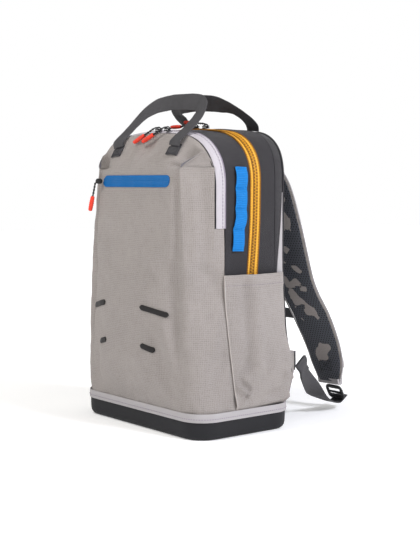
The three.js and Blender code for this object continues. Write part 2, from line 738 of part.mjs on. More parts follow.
function strapRing(i) {
  const { middle, across, normal } = strapFrame(i);
  const half = table(STRAP_HALF_THICK, i);
  const inside = STRAP_SECTION.map(([a, b]) => [a, -b]).reverse();
  return [...STRAP_SECTION, ...inside].map(([a, b]) =>
    middle.clone().addScaledVector(across, a).addScaledVector(normal, b * half),
  );
}

function makeStraps() {
  const stations = STRAP_EDGES.map((_, i) => i);
  addPair("strap_pad", loft(stations.map(strapRing)), "taupe");
  const rows = stations.slice(1, -1).map((i) => {
    const { middle, across, normal } = strapFrame(i);
    const lift = -table(STRAP_HALF_THICK, i) - 0.7;
    return [-0.8, 0, 0.8].map((a) =>
      middle.clone().addScaledVector(across, a).addScaledVector(normal, lift),
    );
  });
  addPair("strap_mesh", sheet(rows, 1.2), "mesh");
}

function makeLadderLocks() {
  const rows = [[234, 36, 27, 3], [238, 31, 35, 5], [244, 20, 35, 5], [246, 15.5, 30, 4]];
  const stations = rows.map(([y, z, width, thick]) => [V(81, y, z), width, thick]);
  addPair("ladder_lock", sweep(stations, V(1, 0, 0)), "plastic", 0.45);
}

const LOWER_WEBBING = [
  V(119, 127, 92),
  V(118, 133, 83),
  V(116, 138, 73),
  V(110, 157, 52),
  V(99, 188, 28),
  V(88, 222, 14),
  V(82, 240, 11.5),
  V(80, 256, 20),
];

function makeLowerWebbing() {
  const across = (u) => {
    const turn = THREE.MathUtils.smoothstep(u, 0.1, 0.75);
    return V(turn, 0, 1 - turn);
  };
  const along = frames(new THREE.CatmullRomCurve3(LOWER_WEBBING, false, "centripetal"), 18, across);
  addPair("lower_webbing", ribbon(along, STRAP_WEBBING, WEBBING_THICK), "webbing");
}

// Fabric wing sewn into the rear edge, which the lower webbing leaves from.
function makeLowerWings() {
  const rows = [0, 0.5, 1].map((s) =>
    [mix(48, 84, s), mix(112, 108, s)].map((z) => V(mix(131, 121, s), mix(95.5, 115, s), z)),
  );
  addPair("lower_wing", sheet(rows, 3), "taupe");
}

// Half of the sternum strap with its half of the buckle, from the strap pad to the middle.
function makeSternumStraps() {
  const { inner } = strapFrame(10.3);
  const reach = inner.x - 1.5;
  const rows = [[reach, SMALL_WEBBING, 1.8], [15, SMALL_WEBBING, 1.8], [14, 24, 7], [5, 24, 8], [1.4, 21, 7]];
  const stations = rows.map(([x, width, thick]) => [V(x, inner.y - 6 * (1 - x / reach), inner.z), width, thick]);
  addPair("sternum_strap", sweep(stations, V(0, -0.55, 0.83)), "plastic");
}

makeBase();
makeFixedBody();
makeBackPads();
makeFrontHalf();
makeHoodFold();
makeHood();
makeLashTabs();
makeHandles();
makeHandleTabs();
makeSliders();
makeSidePockets();
makeDaisyChains();
makeStraps();
makeLadderLocks();
makeLowerWebbing();
makeLowerWings();
makeSternumStraps();

export default bag;
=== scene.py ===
"""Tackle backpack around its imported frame: cloth shells, webbing, zips, padding and moulded parts."""

import json
import math

import bpy
import numpy as np
from mathutils import Matrix, Vector, noise


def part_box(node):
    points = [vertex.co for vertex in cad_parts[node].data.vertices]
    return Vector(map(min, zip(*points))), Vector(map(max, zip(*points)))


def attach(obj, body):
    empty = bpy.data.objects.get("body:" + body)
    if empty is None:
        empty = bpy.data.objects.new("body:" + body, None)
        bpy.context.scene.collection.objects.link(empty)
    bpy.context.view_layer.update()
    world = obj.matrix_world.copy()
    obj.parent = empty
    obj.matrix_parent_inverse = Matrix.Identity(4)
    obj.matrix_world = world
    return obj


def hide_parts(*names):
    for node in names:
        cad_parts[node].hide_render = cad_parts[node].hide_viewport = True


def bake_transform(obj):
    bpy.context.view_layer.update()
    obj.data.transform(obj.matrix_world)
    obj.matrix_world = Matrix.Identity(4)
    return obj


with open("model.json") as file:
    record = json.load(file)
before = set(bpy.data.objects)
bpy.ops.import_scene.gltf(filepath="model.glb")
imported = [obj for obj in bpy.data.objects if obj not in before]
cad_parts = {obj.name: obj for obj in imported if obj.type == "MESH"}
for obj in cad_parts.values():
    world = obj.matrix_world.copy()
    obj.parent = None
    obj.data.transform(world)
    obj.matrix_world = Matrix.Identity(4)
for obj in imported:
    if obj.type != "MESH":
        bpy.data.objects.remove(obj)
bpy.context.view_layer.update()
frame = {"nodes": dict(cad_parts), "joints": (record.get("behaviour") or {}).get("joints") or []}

MM = 0.001
SIDES = (("left", 1), ("right", -1))  # the wearer's sides, and the sign of x on each

# ---------------------------------------------------------------- driving dimensions, mm

BAG_WIDTH, BAG_DEPTH, TRAY_CORNER, TRAY_HEIGHT, TRAY_WALL = 300, 184, 37, 34, 4
BINDING_LOW, BINDING_HIGH, BINDING_THICK = 26.3, 38.5, 1.2
BODY_LOW = 34.5  # lower edge of the cloth, behind the binding
SEAM_Y, LID_ZIP_Y = -43, -57  # y of the front seam and of the front compartment's zip, up the sides
MAIN_HINGE_Z, HOOD_HINGE_Z = 227, 296  # heights of the two fold lines
RIDGE_Z = 382  # the ridge between the front face and the hood's slope
EDGE_BAND = 17
HANDLE_WEBBING, STRAP_WEBBING, LADDER_WEBBING = 25.4, 25, 20
WEBBING_THICK = 1.8
CLOTH_THICK = 1.2
POCKET_TOP = 231
SPLIT_Z = 250  # where the lower front cloth ends and the upper starts, between the two folds
ARCH_CENTRE_X, ARCH_DROP, ARCH_RISE = 65, 73, 69
HOOD_STATION, FLAP_STATION = -1.1, -0.94  # rear edges of the hood and of the strip, see station_y
SIDE_STEPS, ARCH_STEPS, CROWN_STEPS = 34, 26, 12  # points up the side, round the corner, over the top


def smooth_curve(rows):
    """Smooth line through [key, value] rows that doesn't overshoot them."""
    keys, values = np.array(rows, float).T
    steps = np.diff(keys)
    slopes = np.diff(values) / steps
    turns = np.zeros(len(keys))
    turns[0], turns[-1] = slopes[0], slopes[-1]
    for i in range(1, len(keys) - 1):
        if slopes[i - 1] * slopes[i] > 0:
            turns[i] = 2 * slopes[i - 1] * slopes[i] / (slopes[i - 1] + slopes[i])

    def value(key):
        key = np.clip(key, keys[0], keys[-1])
        i = np.clip(np.searchsorted(keys, key) - 1, 0, len(keys) - 2)
        t = (key - keys[i]) / steps[i]
        made = (1 + 2 * t) * (1 - t) ** 2 * values[i] + t * t * (3 - 2 * t) * values[i + 1]
        return made + steps[i] * (t * (1 - t) ** 2 * turns[i] + t * t * (t - 1) * turns[i + 1])

    return value


# Plans of the bag against height: [z, y] or [z, x] of each line.
back_y = smooth_curve([
    [34, 89.6], [55, 90], [70, 88.5], [90, 84.5], [110, 80], [150, 73], [200, 69], [240, 67],
])
back_x = smooth_curve([[34, 117], [39, 118], [60, 133], [80, 141.5], [100, 143.5]])
band_x = smooth_curve([[34, 142.5], [39, 142.8], [60, 146], [100, 147.5]])
main_zip_y = smooth_curve([[34, 4], [227, 4.5], [260, 7.5], [310, 11], [360, 12]])
corner_x = smooth_curve([[34, 147.2], [60, 143], [100, 137], [200, 123], [300, 111], [382, 101]])
front_y = smooth_curve([
    [34, -90], [60, -92], [110, -92.5], [190, -91.5], [250, -91], [320, -90], [382, -87.5],
])
corner_radius = smooth_curve([[34, 38], [100, 33], [200, 26], [330, 16], [382, 9]])
face_swell = smooth_curve([
    [39, 0], [60, 9], [90, 17], [120, 22.5], [180, 24.5], [230, 20], [280, 14], [332, 8], [362, 1.2],
    [382, 0.5],
])


def mix(a, b, t):
    return a + (b - a) * t


def smoothstep(t):
    t = np.clip(t, 0, 1)
    return t * t * (3 - 2 * t)


def arch_top(station):
    return np.interp(station, [-1, 0, 1, 2, 3], [432, 436, 439, 441, 438.5])


def arch_squareness(station):
    return np.interp(station, [0, 1, 2], [2, 2.1, 2.6])


def station_y(station, z):
    """y across the gusset: station 0 is the front seam, 1 the main zip, 2 the edge band, 3 the back."""
    if station <= 0:
        return mix(SEAM_Y, LID_ZIP_Y, -station)
    if station <= 1:
        return mix(SEAM_Y, main_zip_y(z), station)
    band = back_y(z) - EDGE_BAND
    if station <= 2:
        return mix(main_zip_y(z), band, station - 1)
    return mix(band, back_y(z), station - 2)


def station_x(station, z):
    if station <= 0:
        return mix(147, 144.5, -station)
    if station <= 1:
        return mix(147, 148.5, station)
    if station <= 2:
        return mix(148.5, band_x(z), station - 1)
    return band_x(z) - (band_x(z) - back_x(z)) * (station - 2) ** 1.6


def arch_foot(station):
    return arch_top(station) - ARCH_DROP


def station_at(y, z):
    """The station whose y is this, at a height."""
    zip_y, band = main_zip_y(z), back_y(z) - EDGE_BAND
    if y <= SEAM_Y:
        return (SEAM_Y - y) / (LID_ZIP_Y - SEAM_Y)
    if y <= zip_y:
        return (y - SEAM_Y) / (zip_y - SEAM_Y)
    if y <= band:
        return 1 + (y - zip_y) / (band - zip_y)
    return 2 + (y - band) / EDGE_BAND


def arch_half_width(station, z):
    rise = np.clip((z - arch_foot(station)) / ARCH_RISE, 0, 1)
    power = arch_squareness(station)
    return ARCH_CENTRE_X + (station_x(station, z) - ARCH_CENTRE_X) * (1 - rise**power) ** (1 / power)


def arch_corner(station, degrees):
    """Point of the arch's round corner, from its foot at 0 degrees to the flat top at 90."""
    foot = arch_foot(station)
    angle = math.radians(min(degrees, 89.99))
    power = 2 / arch_squareness(station)
    x = ARCH_CENTRE_X + (station_x(station, foot) - ARCH_CENTRE_X) * math.cos(angle) ** power
    z = foot + ARCH_RISE * math.sin(angle) ** power
    return np.array([x, station_y(station, z), z])


def arch_crown(station, x):
    z = arch_foot(station) + ARCH_RISE + (ARCH_DROP - ARCH_RISE) * (1 - (x / ARCH_CENTRE_X) ** 2)
    return np.array([x, station_y(station, z), z])


# ---------------------------------------------------------------- lines and grids of points


def lengths_along(points):
    return np.concatenate([[0], np.cumsum(np.linalg.norm(np.diff(points, axis=0), axis=1))])


def resample(points, count):
    """Evenly spaced points along a line."""
    points = np.asarray(points, float)
    along = lengths_along(points)
    wanted = np.linspace(0, along[-1], count)
    return np.stack([np.interp(wanted, along, points[:, k]) for k in range(points.shape[1])], axis=1)


def relax(points, passes, axis=0, weight=None):
    """Points moved towards the middle of their neighbours along an axis, ends kept."""
    made = np.moveaxis(points.copy(), axis, 0)
    share = 0.5 if weight is None else 0.5 * np.moveaxis(weight, axis, 0)[1:-1]
    for _ in range(passes):
        made[1:-1] += share * ((made[:-2] + made[2:]) / 2 - made[1:-1])
    return np.moveaxis(made, 0, axis)


def spline(points, count):
    """Evenly spaced points on a centripetal Catmull-Rom curve through the given ones."""
    p = np.array(points, float)
    p = np.vstack([2 * p[0] - p[1], p, 2 * p[-1] - p[-2]])
    knots = np.concatenate([[0], np.cumsum(np.sqrt(np.linalg.norm(np.diff(p, axis=0), axis=1)))])
    made = []
    for i in range(1, len(p) - 2):
        t = np.linspace(knots[i], knots[i + 1], 24, endpoint=i == len(p) - 3)[:, None]
        k0, k1, k2, k3 = knots[i - 1 : i + 3]
        a1 = (k1 - t) / (k1 - k0) * p[i - 1] + (t - k0) / (k1 - k0) * p[i]
        a2 = (k2 - t) / (k2 - k1) * p[i] + (t - k1) / (k2 - k1) * p[i + 1]
        a3 = (k3 - t) / (k3 - k2) * p[i + 1] + (t - k2) / (k3 - k2) * p[i + 2]
        b1 = (k2 - t) / (k2 - k0) * a1 + (t - k0) / (k2 - k0) * a2
        b2 = (k3 - t) / (k3 - k1) * a2 + (t - k1) / (k3 - k1) * a3
        made.append((k2 - t) / (k2 - k1) * b1 + (t - k1) / (k2 - k1) * b2)
    return resample(np.vstack(made), count)


def mirrored(points):
    return np.asarray(points) * [-1, 1, 1]


def unit(vectors):
    return vectors / np.maximum(np.linalg.norm(vectors, axis=-1, keepdims=True), 1e-9)


def grid_normals(grid, centre=(0, 0, 220)):
    """Unit normals of a grid of points, away from a point inside the bag."""
    normal = unit(np.cross(np.gradient(grid, axis=0), np.gradient(grid, axis=1)))
    away = np.sum(normal * (grid - np.array(centre, float)))
    return normal if away > 0 else -normal


def arch_line(station, low):
    """Outline over the bag at a station, from the wearer's left to the right."""
    heights = np.linspace(low, arch_foot(station), SIDE_STEPS, endpoint=False)
    side = [[station_x(station, z), station_y(station, z), z] for z in heights]
    corner = resample([arch_corner(station, a) for a in np.linspace(0, 90, 181)], ARCH_STEPS)
    crown = [arch_crown(station, x) for x in np.linspace(ARCH_CENTRE_X, 0, CROWN_STEPS)[1:]]
    left = np.vstack([side, corner, crown])
    return relax(np.vstack([left, mirrored(left[:-1])[::-1]]), 6)


def arch_grid(start, end, low, columns, lift=0.0):
    grid = np.stack([arch_line(s, low) for s in np.linspace(start, end, columns)], axis=1)
    return grid + lift * grid_normals(grid)


# ---------------------------------------------------------------- folds and wrinkles


def fold(u, v, start, end, width, height):
    """Height of a fold that runs from one point to another on a surface, and fades at its ends."""
    run = np.array(end, float) - start
    length = math.hypot(*run)
    along = ((u - start[0]) * run[0] + (v - start[1]) * run[1]) / length**2
    off = ((u - start[0]) * run[1] - (v - start[1]) * run[0]) / length
    fade = np.clip(np.minimum(along + 0.15, 1.15 - along) / 0.3, 0, 1)
    return height * smoothstep(fade) * np.exp(-((off / width) ** 2))


def wrinkles(points, size, seed):
    """Fractal noise over points, about -1 to 1, with waves of a size in mm."""
    flat = points.reshape(-1, 3) / size
    made = [noise.fractal(Vector((*p,)) + Vector((seed, 0, 0)), 0.8, 2.0, 2) for p in flat]
    return np.array(made).reshape(points.shape[:-1])


def crumpled(grid, height, size, seed, normals=None):
    """The grid with wrinkles of a height and size in mm."""
    normals = grid_normals(grid) if normals is None else normals
    return grid + (height * wrinkles(grid, size, seed))[..., None] * normals


def bell(distance, width):
    """1 at no distance, falling off smoothly over a width."""
    return np.exp(-((distance / width) ** 2))


# ---------------------------------------------------------------- materials


def srgb(*levels):
    """Linear colour from 0 to 255 levels."""
    return tuple(((c / 255 + 0.055) / 1.055) ** 2.4 if c > 10 else c / 255 / 12.92 for c in levels)


def shade(colour, factor):
    return tuple(min(1.0, c * factor) for c in colour)


class Shader:
    """One material's nodes, with short calls to make them."""

    def __init__(self, name, roughness, **sockets):
        self.material = bpy.data.materials.new(name)
        self.material.use_nodes = True
        self.nodes, self.links = self.material.node_tree.nodes, self.material.node_tree.links
        self.surface = self.nodes["Principled BSDF"]
        for key, value in {"Roughness": roughness, "Specular_IOR_Level": 0.25, **sockets}.items():
            self.set(key.replace("_", " "), value)

    def put(self, target, value):
        """Links another node's output to a socket, or sets the socket's own number or colour."""
        if isinstance(value, bpy.types.NodeSocket):
            self.links.new(value, target)
        else:
            target.default_value = (*value, 1.0) if isinstance(value, tuple) else value

    def set(self, socket, value):
        self.put(self.surface.inputs[socket], value)

    def node(self, kind, **inputs):
        made = self.nodes.new(kind)
        for key, value in inputs.items():
            self.put(made.inputs[key.replace("_", " ")], value)
        return made

    def math(self, operation, *values):
        made = self.nodes.new("ShaderNodeMath")
        made.operation = operation
        for target, value in zip(made.inputs, values):
            self.put(target, value)
        return made.outputs[0]

    def add(self, a, b):
        return self.math("ADD", a, b)

    def times(self, a, b):
        return self.math("MULTIPLY", a, b)

    def swing(self, value, middle, reach):
        """How far a value lies from its middle, scaled."""
        return self.times(self.math("SUBTRACT", value, middle), reach)

    def mix(self, factor, a, b):
        made = self.nodes.new("ShaderNodeMix")
        made.data_type = "RGBA"
        for index, value in ((0, factor), (6, a), (7, b)):
            self.put(made.inputs[index], value)
        return made.outputs[2]

    def coordinates(self, source):
        """Two lengths over the surface in mm: from the cloth's own map, or from two axes of the part."""
        if source == "cloth":
            vector = self.nodes.new("ShaderNodeUVMap").outputs[0]
        else:
            vector = self.nodes.new("ShaderNodeTexCoord").outputs["Object"]
        split = self.node("ShaderNodeSeparateXYZ", Vector=vector)
        return [self.times(split.outputs[axis], 1000.0) for axis in ("XY" if source == "cloth" else source)]

    def noise(self, scale_mm, detail=2.0, roughness=0.5):
        place = self.nodes.new("ShaderNodeTexCoord").outputs["Object"]
        return self.node("ShaderNodeTexNoise", Vector=place, Scale=1000 / scale_mm, Detail=detail,
                         Roughness=roughness).outputs["Fac"]

    def yarn(self, along, across, length_mm, width_mm):
        """Uneven thickness of single yarns: streaks much longer than they are wide."""
        place = self.node("ShaderNodeCombineXYZ", X=self.math("DIVIDE", along, length_mm),
                          Y=self.math("DIVIDE", across, width_mm))
        return self.node("ShaderNodeTexNoise", Vector=place.outputs[0], Scale=1.0, Detail=2.0).outputs["Fac"]

    def bump(self, height, depth_mm, **normal):
        made = self.node("ShaderNodeBump", Height=height, Distance=depth_mm * MM, Strength=1.0, **normal)
        return made.outputs[0]

    def shades(self, tone, colour, contrast):
        """Colour between its darker and lighter shade by a tone."""
        self.set("Base Color", self.mix(tone, shade(colour, 1 - contrast), shade(colour, 1 + contrast)))

    def relief(self, height, depth, fuzz_mm, fuzz_depth):
        """Threads over a fine fuzz."""
        self.set("Normal", self.bump(height, depth, Normal=self.bump(self.noise(fuzz_mm), fuzz_depth)))

    def thread(self, length, pitch):
        """Round profile of threads side by side, 0 between them and 1 on top."""
        return self.math("ABSOLUTE", self.math("SINE", self.times(length, math.pi / pitch)))

    def band(self, length, pitch, share):
        """1 on a line of part of each pitch, 0 between lines."""
        return self.math("LESS_THAN", self.math("FRACT", self.math("DIVIDE", length, pitch)), share)


def woven(
    name, colour, pitch, depth, contrast,
    source="cloth", ripstop=0.0, twill=False, slub=1.2, roughness=0.82, **sockets
):
    """Cloth with warp and weft threads that cross over and under, and a ripstop grid where asked.

    pitch and ripstop are in mm, and slub is how uneven its yarns look.
    """
    s = Shader(name, roughness, **sockets)
    u, v = s.coordinates(source)
    if twill:
        u, v = s.add(u, v), s.math("SUBTRACT", u, v)
    waves = [s.math("SINE", s.times(length, math.pi / pitch)) for length in (u, v)]
    over = s.math("GREATER_THAN", s.times(*waves), 0.0)
    under = s.math("SUBTRACT", 1.0, over)
    height = s.add(s.times(over, s.thread(u, pitch)), s.times(under, s.thread(v, pitch)))
    # tone follows the threads' height: crests painted lighter and the hollows between threads darker, as
    # painted shade
    tone = s.add(s.times(over, 0.5), s.times(height, 0.5))
    if ripstop:
        lines = s.math("MAXIMUM", s.band(u, ripstop, 0.3), s.band(v, ripstop, 0.3))
        height = s.add(height, s.times(lines, 0.7))
        tone = s.add(tone, s.times(lines, 1.3))
    uneven = s.add(s.yarn(u, v, 15, 1.2), s.yarn(v, u, 18, 1.3))
    tone = s.add(s.add(tone, s.swing(uneven, 1.0, slub)), s.swing(s.noise(60, 3), 0.5, 0.9))
    s.shades(tone, colour, contrast)
    s.relief(height, depth, 0.7, 0.05)
    return s.material


def webbing_material(name, colour, rib, depth, contrast=0.25):
    """Narrow webbing: ribs across, with a fine twill between its two selvedges."""
    s = Shader(name, 0.7)
    across, along = s.coordinates("cloth")
    twist = s.thread(s.add(across, s.times(along, 0.5)), rib * 0.8)
    height = s.add(s.times(s.thread(along, rib), 0.7), s.times(twist, 0.4))
    # tone follows the ribs' height: rib tops painted lighter and the grooves darker, as painted shade, plus
    # random noise
    tone = s.add(height, s.swing(s.noise(14, 3), 0.5, 0.7))
    s.shades(tone, colour, contrast)
    s.relief(height, depth, 0.6, 0.06)
    return s.material


def moulded(name, colour, roughness, grain, depth, scuff=0.06):
    """Moulded plastic or foam: fine grain, uneven gloss and light scuffs."""
    s = Shader(name, roughness)
    s.shades(s.noise(35, 4, 0.6), colour, 4 * scuff)
    s.set("Roughness", s.add(roughness - scuff, s.times(s.noise(9, 5, 0.65), 2 * scuff)))
    s.set("Normal", s.bump(s.noise(grain, 3), depth))
    return s.material


def spacer_mesh(name, colour, source, pitch=3.0):
    """Air mesh: rows of open cells between knitted threads, the cells painted near black as shade and the
    threads painted lighter as a highlight.
    """
    s = Shader(name, 0.62)
    u, v = s.coordinates(source)
    waves = []
    for angle in (0, math.pi / 3, math.pi * 2 / 3):
        line = s.add(s.times(u, math.cos(angle)), s.times(v, math.sin(angle)))
        waves.append(s.math("COSINE", s.times(line, 2 * math.pi / (pitch * 0.866))))
    cells = s.add(s.add(waves[0], waves[1]), waves[2])
    thread = s.math("SUBTRACT", 1.0, s.math("MULTIPLY_ADD", cells, 0.55, -0.1))
    thread = s.math("MINIMUM", s.math("MAXIMUM", thread, 0.0), 1.0)
    # painted light: the open cells darkened as painted shade, the threads lightened as a painted highlight
    s.set("Base Color", s.mix(thread, shade(colour, 0.3), shade(colour, 5.5)))
    s.relief(thread, 0.5, 0.5, 0.08)
    return s.material


TAUPE, LAVENDER, PALE = srgb(149, 142, 138), srgb(177, 172, 177), srgb(160, 156, 157)
CHARCOAL, YELLOW, BLUE = srgb(39, 37, 40), srgb(208, 152, 46), srgb(2, 104, 172)


def thread_material(name, *colour):
    return moulded(name, srgb(*colour), 0.7, grain=0.5, depth=0.05)


MATERIALS = {
    "shell": woven("shell_cloth", TAUPE, 0.9, 0.34, 0.25, ripstop=2.7, slub=1.6, Sheen_Weight=0.1),
    "strap_shell": woven("strap_cloth", TAUPE, 0.9, 0.2, 0.14, source="XZ", ripstop=2.7, slub=1.3),
    "gusset": woven("gusset_cloth", CHARCOAL, 0.8, 0.12, 0.14, twill=True, Sheen_Weight=0.12),
    "strip": woven("strip_cloth", LAVENDER, 0.6, 0.06, 0.03, roughness=0.5),
    "band": woven("edge_band_cloth", PALE, 0.8, 0.1, 0.05, roughness=0.65),
    "binding": webbing_material("binding_tape", PALE, 1.1, 0.14, contrast=0.08),
    "lining": woven("lining_cloth", srgb(108, 106, 112), 0.7, 0.08, 0.08, roughness=0.6),
    "tape": woven("zip_tape_cloth", YELLOW, 0.6, 0.05, 0.05, roughness=0.5),
    "tape_edge": webbing_material("zip_tape_cord", srgb(138, 90, 30), 1.0, 0.15),
    "teeth": moulded("zip_teeth", srgb(198, 140, 38), 0.38, grain=1.5, depth=0.02),
    "blue_tape": woven("pocket_zip_cloth", srgb(0, 88, 148), 0.6, 0.05, 0.07, roughness=0.6),
    "ladder": webbing_material("ladder_webbing", BLUE, 2.5, 0.45, contrast=0.22),
    "handle": webbing_material("handle_webbing", srgb(62, 61, 63), 1.6, 0.3, contrast=0.34),
    "dark_webbing": webbing_material("black_webbing", srgb(52, 52, 54), 1.3, 0.25),
    "mesh": spacer_mesh("strap_mesh", srgb(30, 31, 34), "cloth", pitch=4.4),
    "pad_mesh": spacer_mesh("pad_mesh", srgb(38, 39, 42), "XZ"),
    "foam": moulded("tray_foam", srgb(28, 28, 31), 0.66, grain=1.1, depth=0.09, scuff=0.05),
    "plastic": moulded("black_plastic", srgb(30, 30, 32), 0.42, grain=1.4, depth=0.03),
    "bar": moulded("lash_bar", srgb(30, 28, 28), 0.6, grain=0.9, depth=0.05),
    "red": moulded("red_grip", srgb(218, 62, 44), 0.5, grain=0.9, depth=0.04, scuff=0.03),
    "grey_thread": thread_material("grey_thread", 132, 124, 136),
    "dark_thread": thread_material("dark_thread", 36, 35, 37),
    "blue_thread": thread_material("blue_thread", 6, 116, 184),
    "handle_thread": thread_material("handle_thread", 58, 57, 60),
    # dark brown for the tube under the zip's teeth: painted shade in the gaps between them
    "zip_gap": moulded("zip_gap", srgb(58, 38, 16), 0.8, grain=0.6, depth=0.05),
}

# ---------------------------------------------------------------- making pieces


class Solid:
    """Points in mm and faces that become one piece."""

    def __init__(self):
        self.points, self.faces, self.tags, self.maps = [], [], [], []

    def add(self, points, faces, tag=0, uv=None):
        start = len(self.points)
        self.points.extend(np.asarray(points, float).reshape(-1, 3))
        self.faces.extend([tuple(start + i for i in face) for face in faces])
        self.tags.extend([tag] * len(faces))
        self.maps.extend(np.zeros((len(points), 2)) if uv is None else np.asarray(uv, float).reshape(-1, 2))

    def piece(self, name, body, materials, slot, replaces=(), sharp=40):
        """The Blender object, riding on a body. body may be left out for a piece that spans two bodies, which
        then rides on none.
        """
        mesh = bpy.data.meshes.new(name)
        mesh.from_pydata((np.array(self.points) * MM).tolist(), [], self.faces)
        for key in [materials] if isinstance(materials, str) else materials:
            mesh.materials.append(MATERIALS[key])
        mesh.polygons.foreach_set("material_index", self.tags)
        mesh.polygons.foreach_set("use_smooth", [True] * len(self.faces))
        corners = np.zeros(len(mesh.loops), int)
        mesh.loops.foreach_get("vertex_index", corners)
        layer = mesh.uv_layers.new(name="UVMap")
        layer.data.foreach_set("uv", (np.array(self.maps)[corners] * MM).ravel())
        mesh.update()
        mesh.set_sharp_from_angle(angle=math.radians(sharp))
        made = bpy.data.objects.new(name, mesh)
        bpy.context.scene.collection.objects.link(made)
        if body:
            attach(made, body)
        if replaces:
            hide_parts(*replaces)
        return made


def grid_map(grid):
    """Lengths over a grid in mm, measured from its middle, for the weave."""
    lengths = []
    for axis in (0, 1):
        step = np.linalg.norm(np.diff(grid, axis=axis), axis=-1)
        along = np.concatenate([np.zeros_like(np.take(step, [0], axis)), np.cumsum(step, axis=axis)], axis)
        lengths.append(along - np.take(along, [grid.shape[axis] // 2], axis))
    return np.stack(lengths, axis=-1)


def add_sheet(solid, grid, thick, tag=0, inner_tag=None, normals=None, swap=False):
    """Cloth whose outer face is the grid, with its real thickness and its edges closed."""
    rows, columns = grid.shape[:2]
    normal = grid_normals(grid) if normals is None else normals
    uv = grid_map(grid)[..., ::-1] if swap else grid_map(grid)
    points = np.concatenate([grid.reshape(-1, 3), (grid - thick * normal).reshape(-1, 3)])

    def at(i, j, side):
        return side * rows * columns + i * columns + j

    outer, inner, rim = [], [], []
    for i in range(rows - 1):
        for j in range(columns - 1):
            outer.append((at(i, j, 0), at(i + 1, j, 0), at(i + 1, j + 1, 0), at(i, j + 1, 0)))
            inner.append((at(i, j, 1), at(i, j + 1, 1), at(i + 1, j + 1, 1), at(i + 1, j, 1)))
        for j, turned in ((0, False), (columns - 1, True)):
            edge = (at(i, j, 0), at(i, j, 1), at(i + 1, j, 1), at(i + 1, j, 0))
            rim.append(edge[::-1] if turned else edge)
    for j in range(columns - 1):
        for i, turned in ((0, True), (rows - 1, False)):
            edge = (at(i, j, 0), at(i, j, 1), at(i, j + 1, 1), at(i, j + 1, 0))
            rim.append(edge[::-1] if turned else edge)
    i, j = rows // 2, columns // 2 - 1
    a, b, c = grid[i, j], grid[(i + 1) % rows, j], grid[i, j + 1]
    if np.dot(np.cross(b - a, c - a), normal[i, j]) < 0:
        outer, inner, rim = ([face[::-1] for face in faces] for faces in (outer, inner, rim))
    first = len(solid.faces) + len(outer)
    solid.add(points, outer + inner + rim, tag, np.concatenate([uv, uv]))
    if inner_tag is not None:
        solid.tags[first : first + len(inner)] = [inner_tag] * len(inner)


def sheet_piece(name, grid, thick, body, material, slot, replaces=(), **options):
    solid = Solid()
    add_sheet(solid, grid, thick, **options)
    return solid.piece(name, body, material, slot, replaces)


def lined_cloth(name, grid, body, cloth, replaces=(), thick=CLOTH_THICK, **options):
    """Sheet of shell or gusset cloth with the grey lining inside."""
    options["inner_tag"] = 1
    return sheet_piece(name, grid, thick, body, (cloth, "lining"), f"{cloth}_fabric", replaces, **options)


def add_loft(solid, rings, tag=0, uv=None):
    """Solid through closed rings of points, capped at both ends."""
    rings = np.asarray(rings, float)
    rows, count = rings.shape[:2]
    faces = []
    for i in range(rows - 1):
        for k in range(count):
            a, b = i * count + k, i * count + (k + 1) % count
            faces.append((a, b, b + count, a + count))
    flat = rings.reshape(-1, 3) - rings.mean(axis=(0, 1))
    a, b, c, d = (flat[list(corner)] for corner in zip(*faces))
    volume = np.sum(a * np.cross(b, c)) + np.sum(a * np.cross(c, d))
    faces.append(tuple(range(count))[::-1])
    faces.append(tuple((rows - 1) * count + k for k in range(count)))
    if volume < 0:
        faces = [face[::-1] for face in faces]
    solid.add(rings.reshape(-1, 3), faces, tag, uv)


def circle(count):
    """Angles evenly round a ring."""
    return np.linspace(0, 2 * np.pi, count, endpoint=False)


def add_tube(solid, path, radius, tag=0, sides=8):
    """Round cord along a path."""
    path = np.asarray(path, float)
    tangent = unit(np.gradient(path, axis=0))
    side = unit(np.cross(tangent, [0.31, 0.2, 0.93]))
    normal = np.cross(side, tangent)
    ring = [path + radius * (math.cos(a) * side + math.sin(a) * normal) for a in circle(sides)]
    add_loft(solid, np.stack(ring, axis=1), tag)


def add_webbing(solid, path, sides, width, thick=WEBBING_THICK, across=9):
    """Flat webbing along a path, its width along the given sides, with soft rolled edges."""
    tangent = unit(np.gradient(path, axis=0))
    hint = np.broadcast_to(np.asarray(sides, float), path.shape)
    side = unit(hint - np.sum(hint * tangent, axis=1, keepdims=True) * tangent)
    normal = unit(np.cross(tangent, side))
    share = np.linspace(-1, 1, across)
    half = thick / 2 * (0.45 + 0.55 * (1 - np.abs(share) ** 6))
    profile = [(s * width / 2, h) for s, h in zip(share, half)]
    profile += [(s, -h) for s, h in profile[::-1]]
    rings = np.stack([path + a * side + b * normal for a, b in profile], axis=1)
    add_loft(solid, rings, uv=[[[a, length] for a, _ in profile] for length in lengths_along(path)])


def add_stitches(solid, path, normals, tag=0, stitch=2.7, gap=1.3, radius=0.42, lift=0.1):
    """A run of thread stitches on a surface, each dipping in at its two ends."""
    along = lengths_along(path)
    for k in range(max(1, int(along[-1] // (stitch + gap)))):
        places = k * (stitch + gap) + gap / 2 + stitch * np.array([0, 0.28, 0.72, 1])
        middle, up = (np.stack([np.interp(places, along, rows[:, a]) for a in range(3)], axis=1)
                      for rows in (path, normals))
        up = unit(up)
        middle = middle + up * (lift + np.array([-0.5, 0.3, 0.3, -0.5])[:, None] * radius)
        side = unit(np.cross(unit(np.gradient(middle, axis=0)), up))
        rings = [middle + radius * (math.cos(a) * side + math.sin(a) * up) for a in circle(6)]
        add_loft(solid, np.stack(rings, axis=1), tag)


def add_box_stitch(solid, corners, normal, tag=0):
    """Sewn box with a cross, on four corners of a flat patch."""
    a, b, c, d = (np.array(p, float) for p in corners)
    for start, end in ((a, b), (b, c), (c, d), (d, a), (a, c), (b, d)):
        path = np.linspace(start, end, 8)
        add_stitches(solid, path, np.broadcast_to(normal, path.shape), tag, 2.0, 0.7, 0.34)


